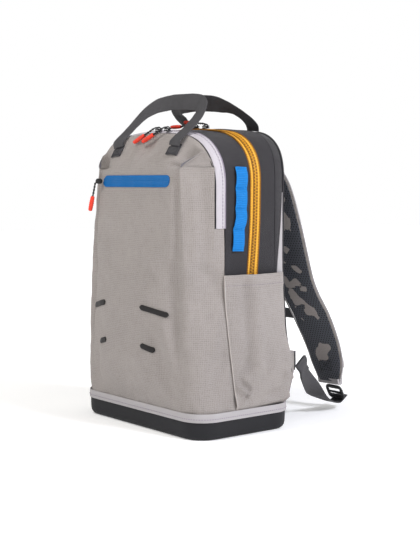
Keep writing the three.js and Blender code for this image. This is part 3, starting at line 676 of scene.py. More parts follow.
def add_lump(solid, centre, size, axes, power=3.0, rings=7, sides=12):
    """Rounded block: half sizes along three axes, squarer with a higher power."""
    made = []
    for latitude in np.linspace(-math.pi / 2, math.pi / 2, rings + 2)[1:-1]:
        wide, high = math.cos(latitude), math.sin(latitude)
        ring = np.array([[wide * math.cos(a), wide * math.sin(a), high] for a in circle(sides)])
        ring /= np.sum(np.abs(ring) ** power, axis=1, keepdims=True) ** (1 / power)
        made.append(ring * size @ np.array(axes, float) + centre)
    add_loft(solid, made)


# ---------------------------------------------------------------- front cloth and hood

SIDE_COLUMNS, CORNER_COLUMNS, FACE_COLUMNS, TONGUE_COLUMNS = 15, 10, 36, 9
CREASE_COLUMN = SIDE_COLUMNS + CORNER_COLUMNS // 2  # the middle of the round corner
SLOPE_ROWS = 26
SHOULDER = (30, 42)  # angles up the arch between which the fold from the ridge's corner meets the zip
PERIOD = (SIDE_COLUMNS + CORNER_COLUMNS + FACE_COLUMNS) - 1


def lid_side(z):
    """Point of the side wall beside the front compartment's zip."""
    y = station_y(HOOD_STATION, z) + 9 * smoothstep((150 - z) / 90)
    low = mix(station_x(0, z), corner_x(z), (SEAM_Y - y) / (SEAM_Y - front_y(z)))
    return np.array([mix(low, station_x(HOOD_STATION, z), smoothstep((z - 232) / (HOOD_HINGE_Z - 232))), y])


pocket_edge = smooth_curve([[34, -20], [60, -24], [115, -32], [160, -38], [205, -42.8], [231, -43.5]])


def beside_seam(z, start):
    """Points from the seam, or from under the side pocket's front edge, to where the side of a row starts."""
    under = smoothstep((222 - z) / 14)
    rear = max(pocket_edge(min(z, POCKET_TOP)) + 4 * under, SEAM_Y)
    seam_x = station_x(0, z) - 0.3
    points = []
    for t in np.linspace(0, 1, TONGUE_COLUMNS, endpoint=False):
        y = mix(rear, start[1], t)
        if y > SEAM_Y:
            x = station_x(station_at(y, z), z) + 0.7 * min((y - SEAM_Y) / 3, 1) - 0.3
        else:
            x = mix(seam_x, start[0], (SEAM_Y - y) / (SEAM_Y - start[1]))
        points.append([x, y, z])
    return np.array(points)


def front_row(z):
    """The wearer's left half of the front outline at a height: side, round corner, face to its middle."""
    start, corner = lid_side(z), np.array([corner_x(z), front_y(z)])
    back, across = unit(start - corner), np.array([-1.0, 0.0])
    half = math.acos(back @ across) / 2
    radius = min(corner_radius(z), 0.94 * np.linalg.norm(start - corner) * math.tan(half))
    reach = radius / math.tan(half)
    first, last = corner + back * reach, corner + across * reach
    centre = corner + unit(back + across) * radius / math.sin(half)
    side = [mix(start, first, t) for t in np.linspace(0, 1, SIDE_COLUMNS, endpoint=False)]
    begin, end = (math.atan2(*(p - centre)[::-1]) for p in (first, last))
    turn = np.linspace(begin, end, CORNER_COLUMNS)
    arc = centre + radius * np.stack([np.cos(turn), np.sin(turn)], axis=1)
    share = np.linspace(1, 0, FACE_COLUMNS + 1)[1:]
    swell = face_swell(z) * (1 - share**2.6) * (1 - share**12)
    face = np.stack([share * last[0], front_y(z) - swell], axis=1)
    row = np.vstack([side, arc, face])
    return np.column_stack([row, np.full(len(row), z)])


def slope_top(column):
    """Where a column of the front cloth ends, along the front compartment's zip."""
    if column <= CREASE_COLUMN:
        return arch_corner(HOOD_STATION, mix(*SHOULDER, column / CREASE_COLUMN))
    share = (column - CREASE_COLUMN) / (PERIOD - CREASE_COLUMN)
    if share < 0.4:
        return arch_corner(HOOD_STATION, mix(SHOULDER[1], 90, share / 0.4))
    return arch_crown(HOOD_STATION, mix(ARCH_CENTRE_X, 0, (share - 0.4) / 0.6))


def slope_rows(ridge):
    """Rows from the ridge back to the zip."""
    ridge_angle = math.degrees(math.asin((RIDGE_Z - arch_foot(HOOD_STATION)) / ARCH_RISE))
    rows = []
    for w in np.linspace(0, 1, SLOPE_ROWS + 1)[1:]:
        row = np.array([mix(ridge[k], slope_top(k), w) for k in range(len(ridge))])
        edge = arch_corner(HOOD_STATION, mix(ridge_angle, SHOULDER[0], w)) - row[0]
        share = np.clip(1 - np.arange(len(row)) / CREASE_COLUMN, 0, 1)
        rows.append(row + share[:, None] * edge)
    return rows


def soften_ridge(grid, ridge_row):
    """Rounds the edge between the face and the slope, more in the middle than at the corners."""
    rows = np.arange(grid.shape[1])
    near = np.exp(-(((rows - ridge_row) / 5.0) ** 2))
    columns = np.arange(grid.shape[0])
    inward = smoothstep((np.minimum(columns, len(columns) - 1 - columns) - CREASE_COLUMN) / 14)
    weight = np.broadcast_to((inward[:, None] * near)[..., None], grid.shape)
    return relax(grid, 26, axis=1, weight=weight)


# Folds on the side wall, (y, z) to (y, z), and on the face, (x, z) to (x, z), with their width and height.
SIDE_FOLDS = [
    ((-66, 236), (-70, 372), 7, -1.7),
    ((-78, 250), (-76, 360), 5, 1.0),
    ((-50, 214), (-76, 246), 8, -1.3),
    ((-38, 132), (-74, 50), 11, -2.8),
    ((-54, 92), (-84, 46), 9, 1.2),
    ((-50, 190), (-60, 120), 8, 1.4),
    ((-84, 190), (-88, 90), 6, -1.0),
]
FACE_FOLDS = [
    ((98, 378), (105, 250), 5, -1.6),
    ((88, 372), (92, 270), 8, 1.2),
    ((100, 250), (104, 120), 7, -1.4),
    ((60, 300), (36, 236), 11, -1.2),
    ((40, 262), (84, 214), 9, 1.0),
    ((30, 200), (78, 232), 8, -1.0),
    ((84, 170), (104, 90), 10, 1.6),
    ((64, 150), (96, 60), 9, -1.5),
    ((50, 92), (20, 60), 12, 0.9),
    ((0, 320), (30, 250), 15, 0.8),
]


def front_folds(grid, ridge_row):
    """How far the cloth stands proud of its plain shape, in mm: folds, dents and wrinkles."""
    x, y, z = np.abs(grid[..., 0]), grid[..., 1], grid[..., 2]
    columns = np.arange(grid.shape[0])
    column = np.minimum(columns, len(columns) - 1 - columns)[:, None] - TONGUE_COLUMNS
    rows = np.arange(grid.shape[1])[None, :]
    up = np.clip((rows - ridge_row) / SLOPE_ROWS, 0, 1)
    below = rows <= ridge_row
    side = smoothstep((CREASE_COLUMN + 1 - column) / 4) * np.ones_like(x)
    made = side * below * sum(fold(y, z, *line) for line in SIDE_FOLDS)
    made += 1.3 * (1 - side) * below * sum(fold(x, z, *line) for line in FACE_FOLDS)
    # the slope sinks beside the fold that runs from the corner of the ridge up to the shoulder
    beside = column - CREASE_COLUMN
    past = np.clip(beside, 0, None)
    hollow = (1 - np.exp(-past / 1.1)) * bell(past, 7.5)
    made -= 11.0 * hollow * smoothstep(up / 0.14) * smoothstep((0.95 - up) / 0.55)
    made -= 2.6 * bell(rows - ridge_row - 2.6, 2.0) * bell(beside - 8, 6)
    made += 2.4 * bell(beside + 0.6, 1.5) * smoothstep((up + 0.06) / 0.2) * smoothstep((1 - up) / 0.3)
    # dents below the ridge's corners, in the middle of the slope and on both sides of it
    made -= 2.2 * bell(beside - 7, 4) * bell(rows - ridge_row + 3, 3.2)
    made -= 3.0 * bell(x, 17) * bell(up - 0.62, 0.25) * (up > 0)
    made -= 1.5 * bell(x - 36, 14) * bell(up - 0.35, 0.3) * (up > 0)
    # small puckers where the cloth is gathered at the base
    arc = 60 * np.arctan2(x, -y)
    gathered = np.exp(-np.clip(z - BINDING_HIGH, 0, None) / 9)
    made += 0.5 * np.sin(arc / 1.9 + 1.4 * np.sin(arc / 5.3)) * gathered
    calm = smoothstep((z - BODY_LOW) / 14) * (1 - 0.8 * smoothstep((up - 0.8) / 0.2))
    made = 1.5 * made + calm * (2.0 * wrinkles(grid, 58, 3.1) + 0.6 * wrinkles(grid, 17, 8.7))
    # none under the side pocket's edge
    clear = smoothstep((pocket_edge(np.minimum(z, POCKET_TOP)) - 1 - y) / 9)
    return made * np.where(below & (z < POCKET_TOP + 5), clear, 1)


def front_cloth():
    """The whole front grid, columns from the wearer's left seam to the right one, rows upwards."""
    low = np.linspace(BODY_LOW, SPLIT_Z, 70)
    high = np.linspace(SPLIT_Z, RIDGE_Z, 44)[1:]
    heights = np.concatenate([low, high])
    halves = [front_row(z) for z in heights]
    halves += slope_rows(halves[-1])
    rows = []
    for half in halves:
        below = half[0, 2] <= RIDGE_Z + 1
        tongue = beside_seam(half[0, 2], half[0]) if below else np.tile(half[0], (TONGUE_COLUMNS, 1))
        left = np.vstack([tongue, half])
        rows.append(np.vstack([left, mirrored(left[:-1][::-1])]))
    grid = np.stack(rows, axis=1)
    ridge_row = len(heights) - 1
    grid = soften_ridge(grid, ridge_row)
    grid = grid + front_folds(grid, ridge_row)[..., None] * grid_normals(grid)
    return grid, len(low) - 1, ridge_row


front_grid, split_row, ridge_row = front_cloth()
front_normal = grid_normals(front_grid)
hood_grid = front_grid[TONGUE_COLUMNS:-TONGUE_COLUMNS]
hood_normal = front_normal[TONGUE_COLUMNS:-TONGUE_COLUMNS]


def make_front():
    lower = lined_cloth("front_cloth_lower", front_grid[:, : split_row + 1], None, "shell",
                        ["front_shell_lower", "front_fold_panel", "front_shell_middle"],
                        normals=front_normal[:, : split_row + 1])
    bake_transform(lower)
    upper = lined_cloth("hood_cloth", hood_grid[:, split_row:], None, "shell", ["hood", "hood_fold_panel"],
                        normals=hood_normal[:, split_row:])
    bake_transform(upper)
    rows = slice(split_row, int(np.argmax(front_grid[0, :, 2] > HOOD_HINGE_Z)) + 1)
    beside = {"left": slice(0, TONGUE_COLUMNS + 1), "right": slice(-TONGUE_COLUMNS - 1, None)}
    for side, columns in beside.items():
        grid, normals = front_grid[columns, rows], front_normal[columns, rows]
        lined_cloth(f"front_cloth_beside_zip_{side}", grid, "front_module", "shell", normals=normals)


def row_point(row, normals, x, lift):
    """Point at x on a row of the front cloth, lifted off it."""
    order = np.argsort(row[:, 0])
    lifted = (row + lift * normals)[order]
    return np.array([np.interp(x, row[order, 0], lifted[:, a]) for a in range(3)])


def hood_point(x, share, lift):
    """Point above the hood's slope at x, a share of the way from the ridge to the zip."""
    slope = (slice(CREASE_COLUMN, len(hood_grid) - CREASE_COLUMN), slice(ridge_row, None))
    rows, normals = hood_grid[slope], hood_normal[slope]
    place = share * (rows.shape[1] - 1)
    k = min(int(place), rows.shape[1] - 2)
    return mix(*(row_point(rows[:, i], normals[:, i], x, lift) for i in (k, k + 1)), place - k)


def face_point(x, z, lift):
    """Point in front of the front face."""
    heights = front_grid[len(front_grid) // 2, : ridge_row + 1, 2]
    k = int(np.clip(np.searchsorted(heights, z) - 1, 0, ridge_row - 1))
    made = []
    for i in (k, k + 1):
        facing = front_grid[:, i, 1] < -60
        made.append(row_point(front_grid[facing, i], front_normal[facing, i], x, lift))
    return mix(*made, np.clip((z - made[0][2]) / max(made[1][2] - made[0][2], 1e-6), 0, 1))


# ---------------------------------------------------------------- gusset, band and back

FRONT_STEP, REAR_STEP = 55, 38  # mm of gusset to a station, in front of the main zip and behind it
TAPE_HALF, TAPE_INNER = 9.4, 3.3  # from the middle of the main zip to each tape's outer and inner edge
FRONT_ZIP, REAR_ZIP = 1 - TAPE_HALF / FRONT_STEP, 1 + TAPE_HALF / REAR_STEP
SEAM_STATION = 0.03  # the gusset starts just behind the front seam
BACK_PROUD = 3.7  # how far the back panel's cloth stands behind back_y


def make_gusset():
    for half, start, end, low, columns, body in (
        ("front", SEAM_STATION, FRONT_ZIP, MAIN_HINGE_Z + 0.3, 14, "front_module"),
        ("rear", REAR_ZIP, 1.99, BODY_LOW, 12, "pack"),
    ):
        grid = crumpled(arch_grid(start, end, low, columns), 0.9, 34, 5.2)
        lined_cloth(f"{half}_gusset_cloth", grid, body, "gusset", [f"{half}_gusset"], thick=2, swap=True)


def make_edge_band():
    """Charcoal over the top; below the shoulders a pale strip widens along the back edge."""
    columns, strip_top = 15, 352
    full = crumpled(arch_grid(2, 3, BODY_LOW, columns, 0.4), 0.3, 34, 5.2)
    normal = grid_normals(full)
    places = np.linspace(0, 1, columns)
    height = full[:, columns // 2, 2]
    pale = 0.06 + 0.94 * smoothstep((strip_top - height) / 170)

    def part(starts, count, lift):
        """The band from a share of its width to its rear edge, row by row."""
        grid = []
        for line, up, start in zip(full, normal, starts):
            shares, lifted = np.linspace(start, 1, count), line + lift * up
            grid.append(np.stack([np.interp(shares, places, lifted[:, a]) for a in range(3)], axis=1))
        return np.array(grid)

    lined_cloth("rear_edge_cloth", part(np.zeros(len(full)), 13, 0.0), "pack", "gusset", ["back_edge_band"],
                thick=1.6, swap=True)
    strip = part(1 - pale, 7, 0.7)
    rows = np.flatnonzero(height < strip_top)
    breaks = int(np.argmax(np.diff(rows) > 1)) + 1
    for side, chosen in (("left", rows[:breaks]), ("right", rows[breaks:])):
        sheet_piece(f"rear_edge_strip_{side}", strip[chosen], 0.8, "pack", "band", "pale_fabric", swap=True)


def make_lower_gusset():
    sunk = 4.6  # behind the side pockets, so that their folds have room
    heights = np.linspace(BODY_LOW, MAIN_HINGE_Z - 0.3, 50)
    stations = np.linspace(SEAM_STATION, REAR_ZIP - 0.01, 12)
    left = np.array([[[station_x(s, z) - sunk, station_y(s, z), z] for z in heights] for s in stations])
    for side, grid in (("left", left), ("right", mirrored(left))):
        lined_cloth(f"lower_gusset_cloth_{side}", grid, "pack", "gusset", [f"lower_gusset_{side}"], thick=2)


def make_zip_strip():
    """Pale strip over the front compartment's zip: rolled front edge, stitched channel, sewn rear edge."""
    low, rear_station, channel, columns = HOOD_HINGE_Z + 0.3, 0.02, 9, 13
    stations = np.linspace(FLAP_STATION, rear_station, columns)
    share = (stations - FLAP_STATION) / (rear_station - FLAP_STATION)
    lines = np.stack([arch_line(s, low) for s in stations], axis=1)
    normal = grid_normals(lines)
    roll = np.sin(np.pi * np.clip(share / 0.68, 0, 1)) ** 0.6
    edge = (share > 0.7) * np.sin(np.pi * np.clip((share - 0.68) / 0.32, 0, 1))
    grid = lines + (0.4 + 1.7 * roll + 0.9 * edge)[None, :, None] * normal
    grid = crumpled(grid, 0.35, 26, 12.4, normal)
    sheet_piece("zip_strip", grid, 2.2, "front_module", "strip", "pale_fabric", ["zip_flap"], swap=True)
    seam = Solid()
    add_stitches(seam, lines[:, channel] + 0.75 * normal[:, channel], normal[:, channel], 0, 3.4, 1.5, 0.5)
    add_tube(seam, lines[:, -1] + 0.3 * normal[:, -1], 1.1)
    seam.piece("zip_strip_seam", "front_module", "grey_thread", "pale_fabric")
    coil = Solid()
    inward = grid_normals(arch_grid(HOOD_STATION, FLAP_STATION, low, 3))[:, 1]
    add_tube(coil, arch_line(mix(HOOD_STATION, FLAP_STATION, 0.45), low) - 1.6 * inward, 1.1)
    coil.piece("front_zip_coil", "front_module", "plastic", "black_plastic")


def make_main_zip():
    """Two tapes with corded edges, and one row of teeth on each that mesh with the other; a dark brown tube
    under each row is painted shade in the gaps between its teeth.
    """
    low, pitch = MAIN_HINGE_Z + 0.3, 4.4
    middle = arch_line(1, low)
    normal = grid_normals(arch_grid(0.97, 1.03, low, 3))[:, 1]
    line = resample(middle, 2 * int(lengths_along(middle)[-1] / pitch) + 1)
    up, tangent = unit(resample(normal, len(line))), unit(np.gradient(line, axis=0))
    for first, (name, body, outer, inner, turn) in enumerate((
        ("front", "front_module", FRONT_ZIP, 1 - TAPE_INNER / FRONT_STEP, -1),
        ("rear", "pack", REAR_ZIP, 1 + TAPE_INNER / REAR_STEP, 1),
    )):
        grid = arch_grid(outer, inner, low, 5, lift=0.5)
        tape, teeth, cord = Solid(), Solid(), Solid()
        add_sheet(tape, grid, 1.2, swap=True)
        add_tube(tape, grid[:, -1] - 0.1 * normal, 0.95, tag=1, sides=6)
        add_tube(tape, grid[:, 0] + 0.1 * normal, 0.7, tag=1, sides=6)
        add_stitches(tape, grid[:, 1] + 0.05 * normal, normal, 1, 2.4, 1.2, 0.32)
        tape.piece(f"main_zip_tape_{name}_cloth", body, ("tape", "tape_edge"), "yellow_zip",
                   [f"main_zip_tape_{name}"])
        across = unit(np.cross(up, tangent))
        across *= math.copysign(1, np.sum(across[:, 1]) * turn)
        for k in range(first, len(line), 2):
            centre, axes = line[k] + across[k] + 0.75 * up[k], (across[k], tangent[k], up[k])
            add_lump(teeth, centre, (2.6, 0.85, 1.15), axes, rings=3, sides=8, power=4)
        teeth.piece(f"main_zip_teeth_{name}", body, "teeth", "yellow_zip")
        # dark brown tube under the teeth, seen only between them: painted shade in the zip's gaps
        add_tube(cord, line + 1.5 * across + 0.35 * up, 0.9, sides=6)
        cord.piece(f"main_zip_gap_shade_{name}", body, "zip_gap", "yellow_zip")


def make_back():
    """Back panel with its piping."""
    top, curve_start = 433, 372
    heights = np.concatenate([
        np.linspace(BINDING_HIGH + 0.5, curve_start, 60),
        top - (top - curve_start) * np.linspace(1, 0, 26)[1:] ** 1.6,
    ])
    edge = [[arch_half_width(3, z) - 1.5, back_y(z) + BACK_PROUD, z] for z in heights]
    grid = np.array([edge * np.array([s, 1, 1]) for s in np.linspace(1, -1, 61)])
    grid = crumpled(grid, 0.5, 40, 2.2, np.array([0, 1, 0]))
    lined_cloth("back_cloth", grid, "pack", "gusset", ["back_panel"], thick=3)
    piping = Solid()
    add_tube(piping, np.vstack([grid[0], grid[1:-1, -1], grid[-1, ::-1]]) + [0, -0.6, 0], 1.9)
    piping.piece("back_piping", "pack", "gusset", "gusset_fabric")


def node_box(node):
    """Low and high corner of a CAD node, in mm."""
    return [np.array(corner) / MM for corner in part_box(node)]


def make_inside():
    """Divider between the compartments, in two heights, and the pouch behind the blue zip."""
    spread = np.linspace(1, -1, 40)
    low_sides = [(144, z) for z in np.linspace(BODY_LOW + 1, MAIN_HINGE_Z - 0.5, 40)]
    line = arch_line(0.05, MAIN_HINGE_Z + 0.3)
    high_sides = [(x - 3.4, z - 3.2 * (z > 380)) for x, _, z in line[: len(line) // 2]]
    for name, body, sides, node in (
        ("divider_low", "pack", low_sides, "divider_lower"),
        ("divider_high", "front_module", high_sides, "divider_upper"),
    ):
        y = np.mean(node_box(node), axis=0)[1] + 0.7
        grid = np.array([[[s * x, y, z] for x, z in sides] for s in spread])
        grid = crumpled(grid, 0.7, 50, 6.0, np.array([0, 1, 0]))
        sheet_piece(name, grid, CLOTH_THICK, body, "lining", "lining", [node])
    low, high = node_box("zip_pocket_liner")
    heights = np.linspace(low[2], high[2], 24)
    grid = np.array([[[x, low[1] + 0.3, z] for z in heights] for x in np.linspace(high[0], low[0], 40)])
    grid = crumpled(grid, 0.5, 30, 4.0, np.array([0, 1, 0]))
    sheet_piece("zip_pouch", grid, CLOTH_THICK, "hood", "lining", "lining", ["zip_pocket_liner"])


# ---------------------------------------------------------------- side pockets


pocket_bulge = smooth_curve([[38, 1], [60, 6], [100, 10], [160, 10], [231, 8.5]])


def pocket_grid():
    """The left pocket's plain shape, rows from its front edge to the back, each from the binding upwards."""
    rows = []
    for share in np.linspace(0, 1, 46):
        row = []
        for z in np.linspace(BINDING_HIGH - 1.5, POCKET_TOP, 68):
            y = mix(pocket_edge(z) - 0.5, back_y(z) - 1.2, share)
            rear = np.interp(share, [0.7, 1], [0, np.interp(z, [38, 110], [3.6, 1.2])])
            out = 2.1 + rear + pocket_bulge(z) * math.sin(math.pi * share) ** 0.7
            out = mix(-0.8, out, smoothstep((z - BINDING_HIGH + 0.8) / 5))
            row.append([station_x(max(station_at(y, z), 0), z) + out, y, z])
        rows.append(row)
    return np.array(rows)


# Folds of the pocket's cloth, (y, z) to (y, z), with their width and height.
POCKET_FOLDS = [
    ((-14, 230), (-4, 84), 9, -3.2),
    ((6, 222), (12, 84), 10, 2.0),
    ((-6, 112), (-24, 82), 8, -2.2),
    ((16, 104), (-12, 76), 7, 1.8),
    ((-28, 88), (-2, 64), 4, -4.2),
    ((-24, 74), (0, 58), 4, 2.8),
    ((-18, 44), (-6, 60), 2.4, -3.4),
    ((-26, 60), (-20, 42), 3.5, 2.0),
    ((30, 52), (84, 62), 6, -3.4),
    ((26, 44), (80, 50), 5, 2.6),
    ((50, 150), (86, 90), 12, 1.6),
    ((62, 84), (88, 74), 5, 2.4),
    ((34, 120), (20, 76), 12, -1.4),
]


def pocket_folds(grid):
    """How far the pocket's cloth stands out from its plain shape, held clear of the gusset behind it."""
    y, z = grid[..., 1], grid[..., 2]
    made = 1.75 * sum(fold(y, z, *line) for line in POCKET_FOLDS)
    calm = smoothstep((z - BINDING_HIGH) / 8) * smoothstep((POCKET_TOP + 6 - z) / 16)
    made = calm * (made + 1.8 * wrinkles(grid, 44, 21.0) + 0.55 * wrinkles(grid, 15, 9.0))
    share = np.linspace(0, 1, len(grid))[:, None]
    room = 2.1 + np.interp(z, [38, 60, 100, 160, 231], [1, 6, 10, 10, 8.5]) * np.sin(np.pi * share) ** 0.7
    return np.maximum(made, calm * (1.9 - room))


def make_pockets():
    hem_rows = 7
    left = pocket_grid()
    left = left + pocket_folds(left)[..., None] * grid_normals(left, (60, 20, 140))
    across_and_up = left.swapaxes(0, 1), left
    for side, sign in SIDES:
        grid = left * [sign, 1, 1]
        facing = grid_normals(grid, (sign * 60, 20, 140))
        pocket = lined_cloth(f"side_pocket_cloth_{side}", grid, "pack", "shell", [f"side_pocket_{side}"],
                             thick=1.5, normals=facing)
        hem, seam = Solid(), Solid()
        add_sheet(hem, (grid + 0.5 * facing)[:, -hem_rows:], 0.6, normals=facing[:, -hem_rows:])
        add_stitches(hem, (grid + 0.5 * facing)[:, 1 - hem_rows], facing[:, 1 - hem_rows], 1, 2.2, 1.4, 0.3)
        hem_piece = hem.piece(f"side_pocket_hem_{side}", "pack", ("shell", "grey_thread"), "shell_fabric")
        add_tube(seam, grid[0] + [0, -0.3, 0], 1.0, sides=6)
        seam.piece(f"side_pocket_piping_{side}", "pack", "shell", "shell_fabric")


# ---------------------------------------------------------------- base


def rounded_rectangle(width, depth, radius, steps=12, straight=10):
    """Closed outline with round corners, even enough for cloth and stitches."""
    ring = []
    for c, (sx, sy) in enumerate(((1, 1), (-1, 1), (-1, -1), (1, -1))):
        centre = np.array([sx * (width / 2 - radius), sy * (depth / 2 - radius)])
        for angle in (c + np.linspace(0, 1, steps + 1)) * math.pi / 2:
            ring.append(centre + radius * np.array([math.cos(angle), math.sin(angle)]))
    ring.append(ring[0])
    return resample(ring, 8 * (steps + straight) + 1)[:-1]


def at_height(ring, z):
    return np.column_stack([ring, np.full(len(ring), z)])


def make_base():
    """Moulded tray, from the middle of its underside up its outer face and down inside."""
    clear = BINDING_THICK + 0.3
    profile = [
        (12, 0), (9, 0), (6.4, 0.4), (4.2, 1.5), (2.6, 3.2), (1.4, 5.4), (0.7, 8.4), (0.3, 12), (0, 18),
        (0, 24), (0, TRAY_HEIGHT), (TRAY_WALL, TRAY_HEIGHT), (TRAY_WALL + 1, 9),
        (TRAY_WALL + 8, TRAY_WALL), (TRAY_WALL + 30, TRAY_WALL),
    ]
    rings = []
    for inset, z in profile:
        width, depth = (size - 2 * (clear + inset) for size in (BAG_WIDTH, BAG_DEPTH))
        rings.append(at_height(rounded_rectangle(width, depth, max(TRAY_CORNER - clear - inset, 6)), z))
    solid = Solid()
    add_loft(solid, rings)
    solid.piece("moulded_tray", "pack", "foam", "tray_foam", ["base_tray"], sharp=55)


def make_binding():
    """Bowed tape round the tray's rim, with one row of stitches."""
    count, stitched = 9, 3
    ring = rounded_rectangle(BAG_WIDTH, BAG_DEPTH, TRAY_CORNER)
    grid = np.stack([at_height(ring, z) for z in np.linspace(BINDING_LOW, BINDING_HIGH, count)], axis=1)
    out = unit(grid * [1, 1, 0])
    bow = 0.35 * np.sin(np.pi * np.linspace(0, 1, count)) ** 0.5
    grid = grid + (bow[None, :] + 0.25 * wrinkles(grid, 16, 3.3))[..., None] * out
    grid, out = (np.concatenate([rows, rows[:1]]) for rows in (grid, out))
    solid = Solid()
    add_sheet(solid, grid, BINDING_THICK, normals=out, swap=True)
    add_stitches(solid, grid[:, stitched], out[:, stitched], tag=1, stitch=2.5, gap=1.4, lift=0.05)
    solid.piece("base_binding_tape", "pack", ("binding", "grey_thread"), "pale_fabric", ["base_binding"])


# ---------------------------------------------------------------- webbing on the body


def make_ladders():
    """Blue webbing bartacked to the gusset, standing a little proud between its tacks."""
    heights = np.linspace(264, 382, 100)
    middle_y = smooth_curve([[264, -20.5], [290, -19.5], [300, -18], [312, -15.5], [340, -15.2], [382, -14]])
    tacks = np.array([266, 294.5, 323.5, 352, 380])
    path = []
    for z in heights:
        y = middle_y(z)
        loose = 1 - bell(np.min(np.abs(tacks - z)), 5.5)
        path.append([arch_half_width(station_at(y, z), z) + 2.0 + 1.5 * loose, y, z])
    for side, sign in SIDES:
        line = np.array(path) * [sign, 1, 1]
        solid = Solid()
        add_webbing(solid, line, (0, 1, 0), LADDER_WEBBING, 1.7)
        for tack in tacks:
            near = int(np.argmin(np.abs(heights - tack)))
            for dz in (-0.8, 0.8):
                row = line[near] + [[sign, across, dz] for across in np.linspace(-8.6, 8.6, 10)]
                add_stitches(solid, row, np.tile([sign, 0.0, 0.0], (10, 1)), 1, 2.4, 0.5, 0.28)
        solid.piece(f"webbing_ladder_{side}", "front_module", ("ladder", "blue_thread"), "blue_webbing",
                    [f"daisy_chain_{side}"])


def make_lash_bars():
    """Moulded bars with round ends, welded on the front face."""
    half_width = 4.0
    section = [(-1, 0.1), (-0.96, 1.0), (-0.7, 1.5), (0, 1.6), (0.7, 1.5), (0.96, 1.0), (1, 0.1)]
    for level, ends in (("upper", ((45, 183.5), (92, 174))), ("lower", ((43, 128), (68, 122)))):
        start, end = np.array(ends)
        length = math.dist(start, end)
        across = np.array([start[1] - end[1], end[0] - start[0]]) / length
        for side, sign in SIDES:
            rings = []
            for t in np.linspace(0, 1, 26):
                past = max(half_width - t * length, half_width - (1 - t) * length, 0)
                half = math.sqrt(max(half_width**2 - past**2, 0.3))
                ring = []
                for s, lift in (*[(s * half, lift + 0.2) for s, lift in section], (0, -0.4)):
                    x, z = mix(start, end, t) + s * across
                    ring.append(face_point(sign * x, z, lift))
                rings.append(ring)
            solid = Solid()
            add_loft(solid, rings)
            solid.piece(f"lash_bar_{level}_{side}", "pack", "bar", "black_plastic",
                        [f"lash_tab_{level}_{side}"], sharp=60)


# ---------------------------------------------------------------- pocket zip, sliders and pulls


def make_pocket_zip():
    """Blue welded zip across the hood: rounded ends, a raised rim and a fine closed coil."""
    start, end, middle_z, half = -85, 83, 362, 8.5
    share = np.linspace(-1, 1, 13)
    grid = []
    for x in np.linspace(start, end, 70):
        past = max(start + half - x, x - (end - half), 0)
        reach = math.sqrt(max(half**2 - past**2, 4))
        grid.append([face_point(x, middle_z + s * reach, 1.0) for s in share])
    grid = np.array(grid)
    normal = grid_normals(grid, (0, 0, 340))
    grid = grid + (0.7 * bell(share, 0.14) - 0.3 * (np.abs(share) < 0.75))[None, :, None] * normal
    solid = Solid()
    add_sheet(solid, grid, 1.2, normals=normal)
    for row in (1, -2):
        add_stitches(solid, grid[:, row], normal[:, row], 1, 2.2, 1.0, 0.3)
    solid.piece("pocket_zip_cloth", "hood", ("blue_tape", "blue_thread"), "yellow_zip", ["pocket_zip_tape"])


def long_axis(node, near):
    """Ends in mm of a CAD node's long axis, the one nearer a point first."""
    points = np.array([v.co for v in frame["nodes"][node].data.vertices], float) / MM
    centre = points.mean(axis=0)
    direction = np.linalg.svd(points - centre, full_matrices=False)[2][0]
    reach = (points - centre) @ direction
    ends = [centre + reach.min() * direction, centre + reach.max() * direction]
    return sorted(ends, key=lambda end: np.linalg.norm(end - near))


def make_slider(name, up):
    """Zip slider with two wings and a bridge. Gives the middle of the bridge."""
    centre = np.mean(node_box(f"{name}_slider"), axis=0)
    along, up = np.array([1.0, 0, 0]), np.array(up, float)
    across = np.cross(up, along)
    outline = [(-6.24, 2.2), (-4.8, 3.4), (-1.92, 4.0), (2.88, 4.0), (4.8, 3.2), (6.24, 1.6)]
    solid = Solid()
    for wing in (-1.2, 1.2):
        rings = []
        for inset, rise in ((0.5, -0.8), (0, -0.3), (0, 0.3), (0.5, 0.8)):
            half = [(x, w - inset) for x, w in outline]
            ring = half + [(x, -w) for x, w in half[::-1]]
            rings.append([centre + x * along + w * across + (wing + rise) * up for x, w in ring])
        add_loft(solid, rings)
    add_lump(solid, centre + 3.6 * along, (1.6, 1.4, 1.4), (along, across, up), sides=8, rings=3)
    arc = np.linspace(0, math.pi, 12)
    add_tube(solid, [centre + 4.6 * math.cos(a) * along + (1.9 + 2.2 * math.sin(a)) * up for a in arc], 0.95)
    body = f"{name}_slider"
    solid.piece(f"{name}_slider_body", body, "plastic", "black_plastic", [body], sharp=50)
    return centre + 3.2 * up


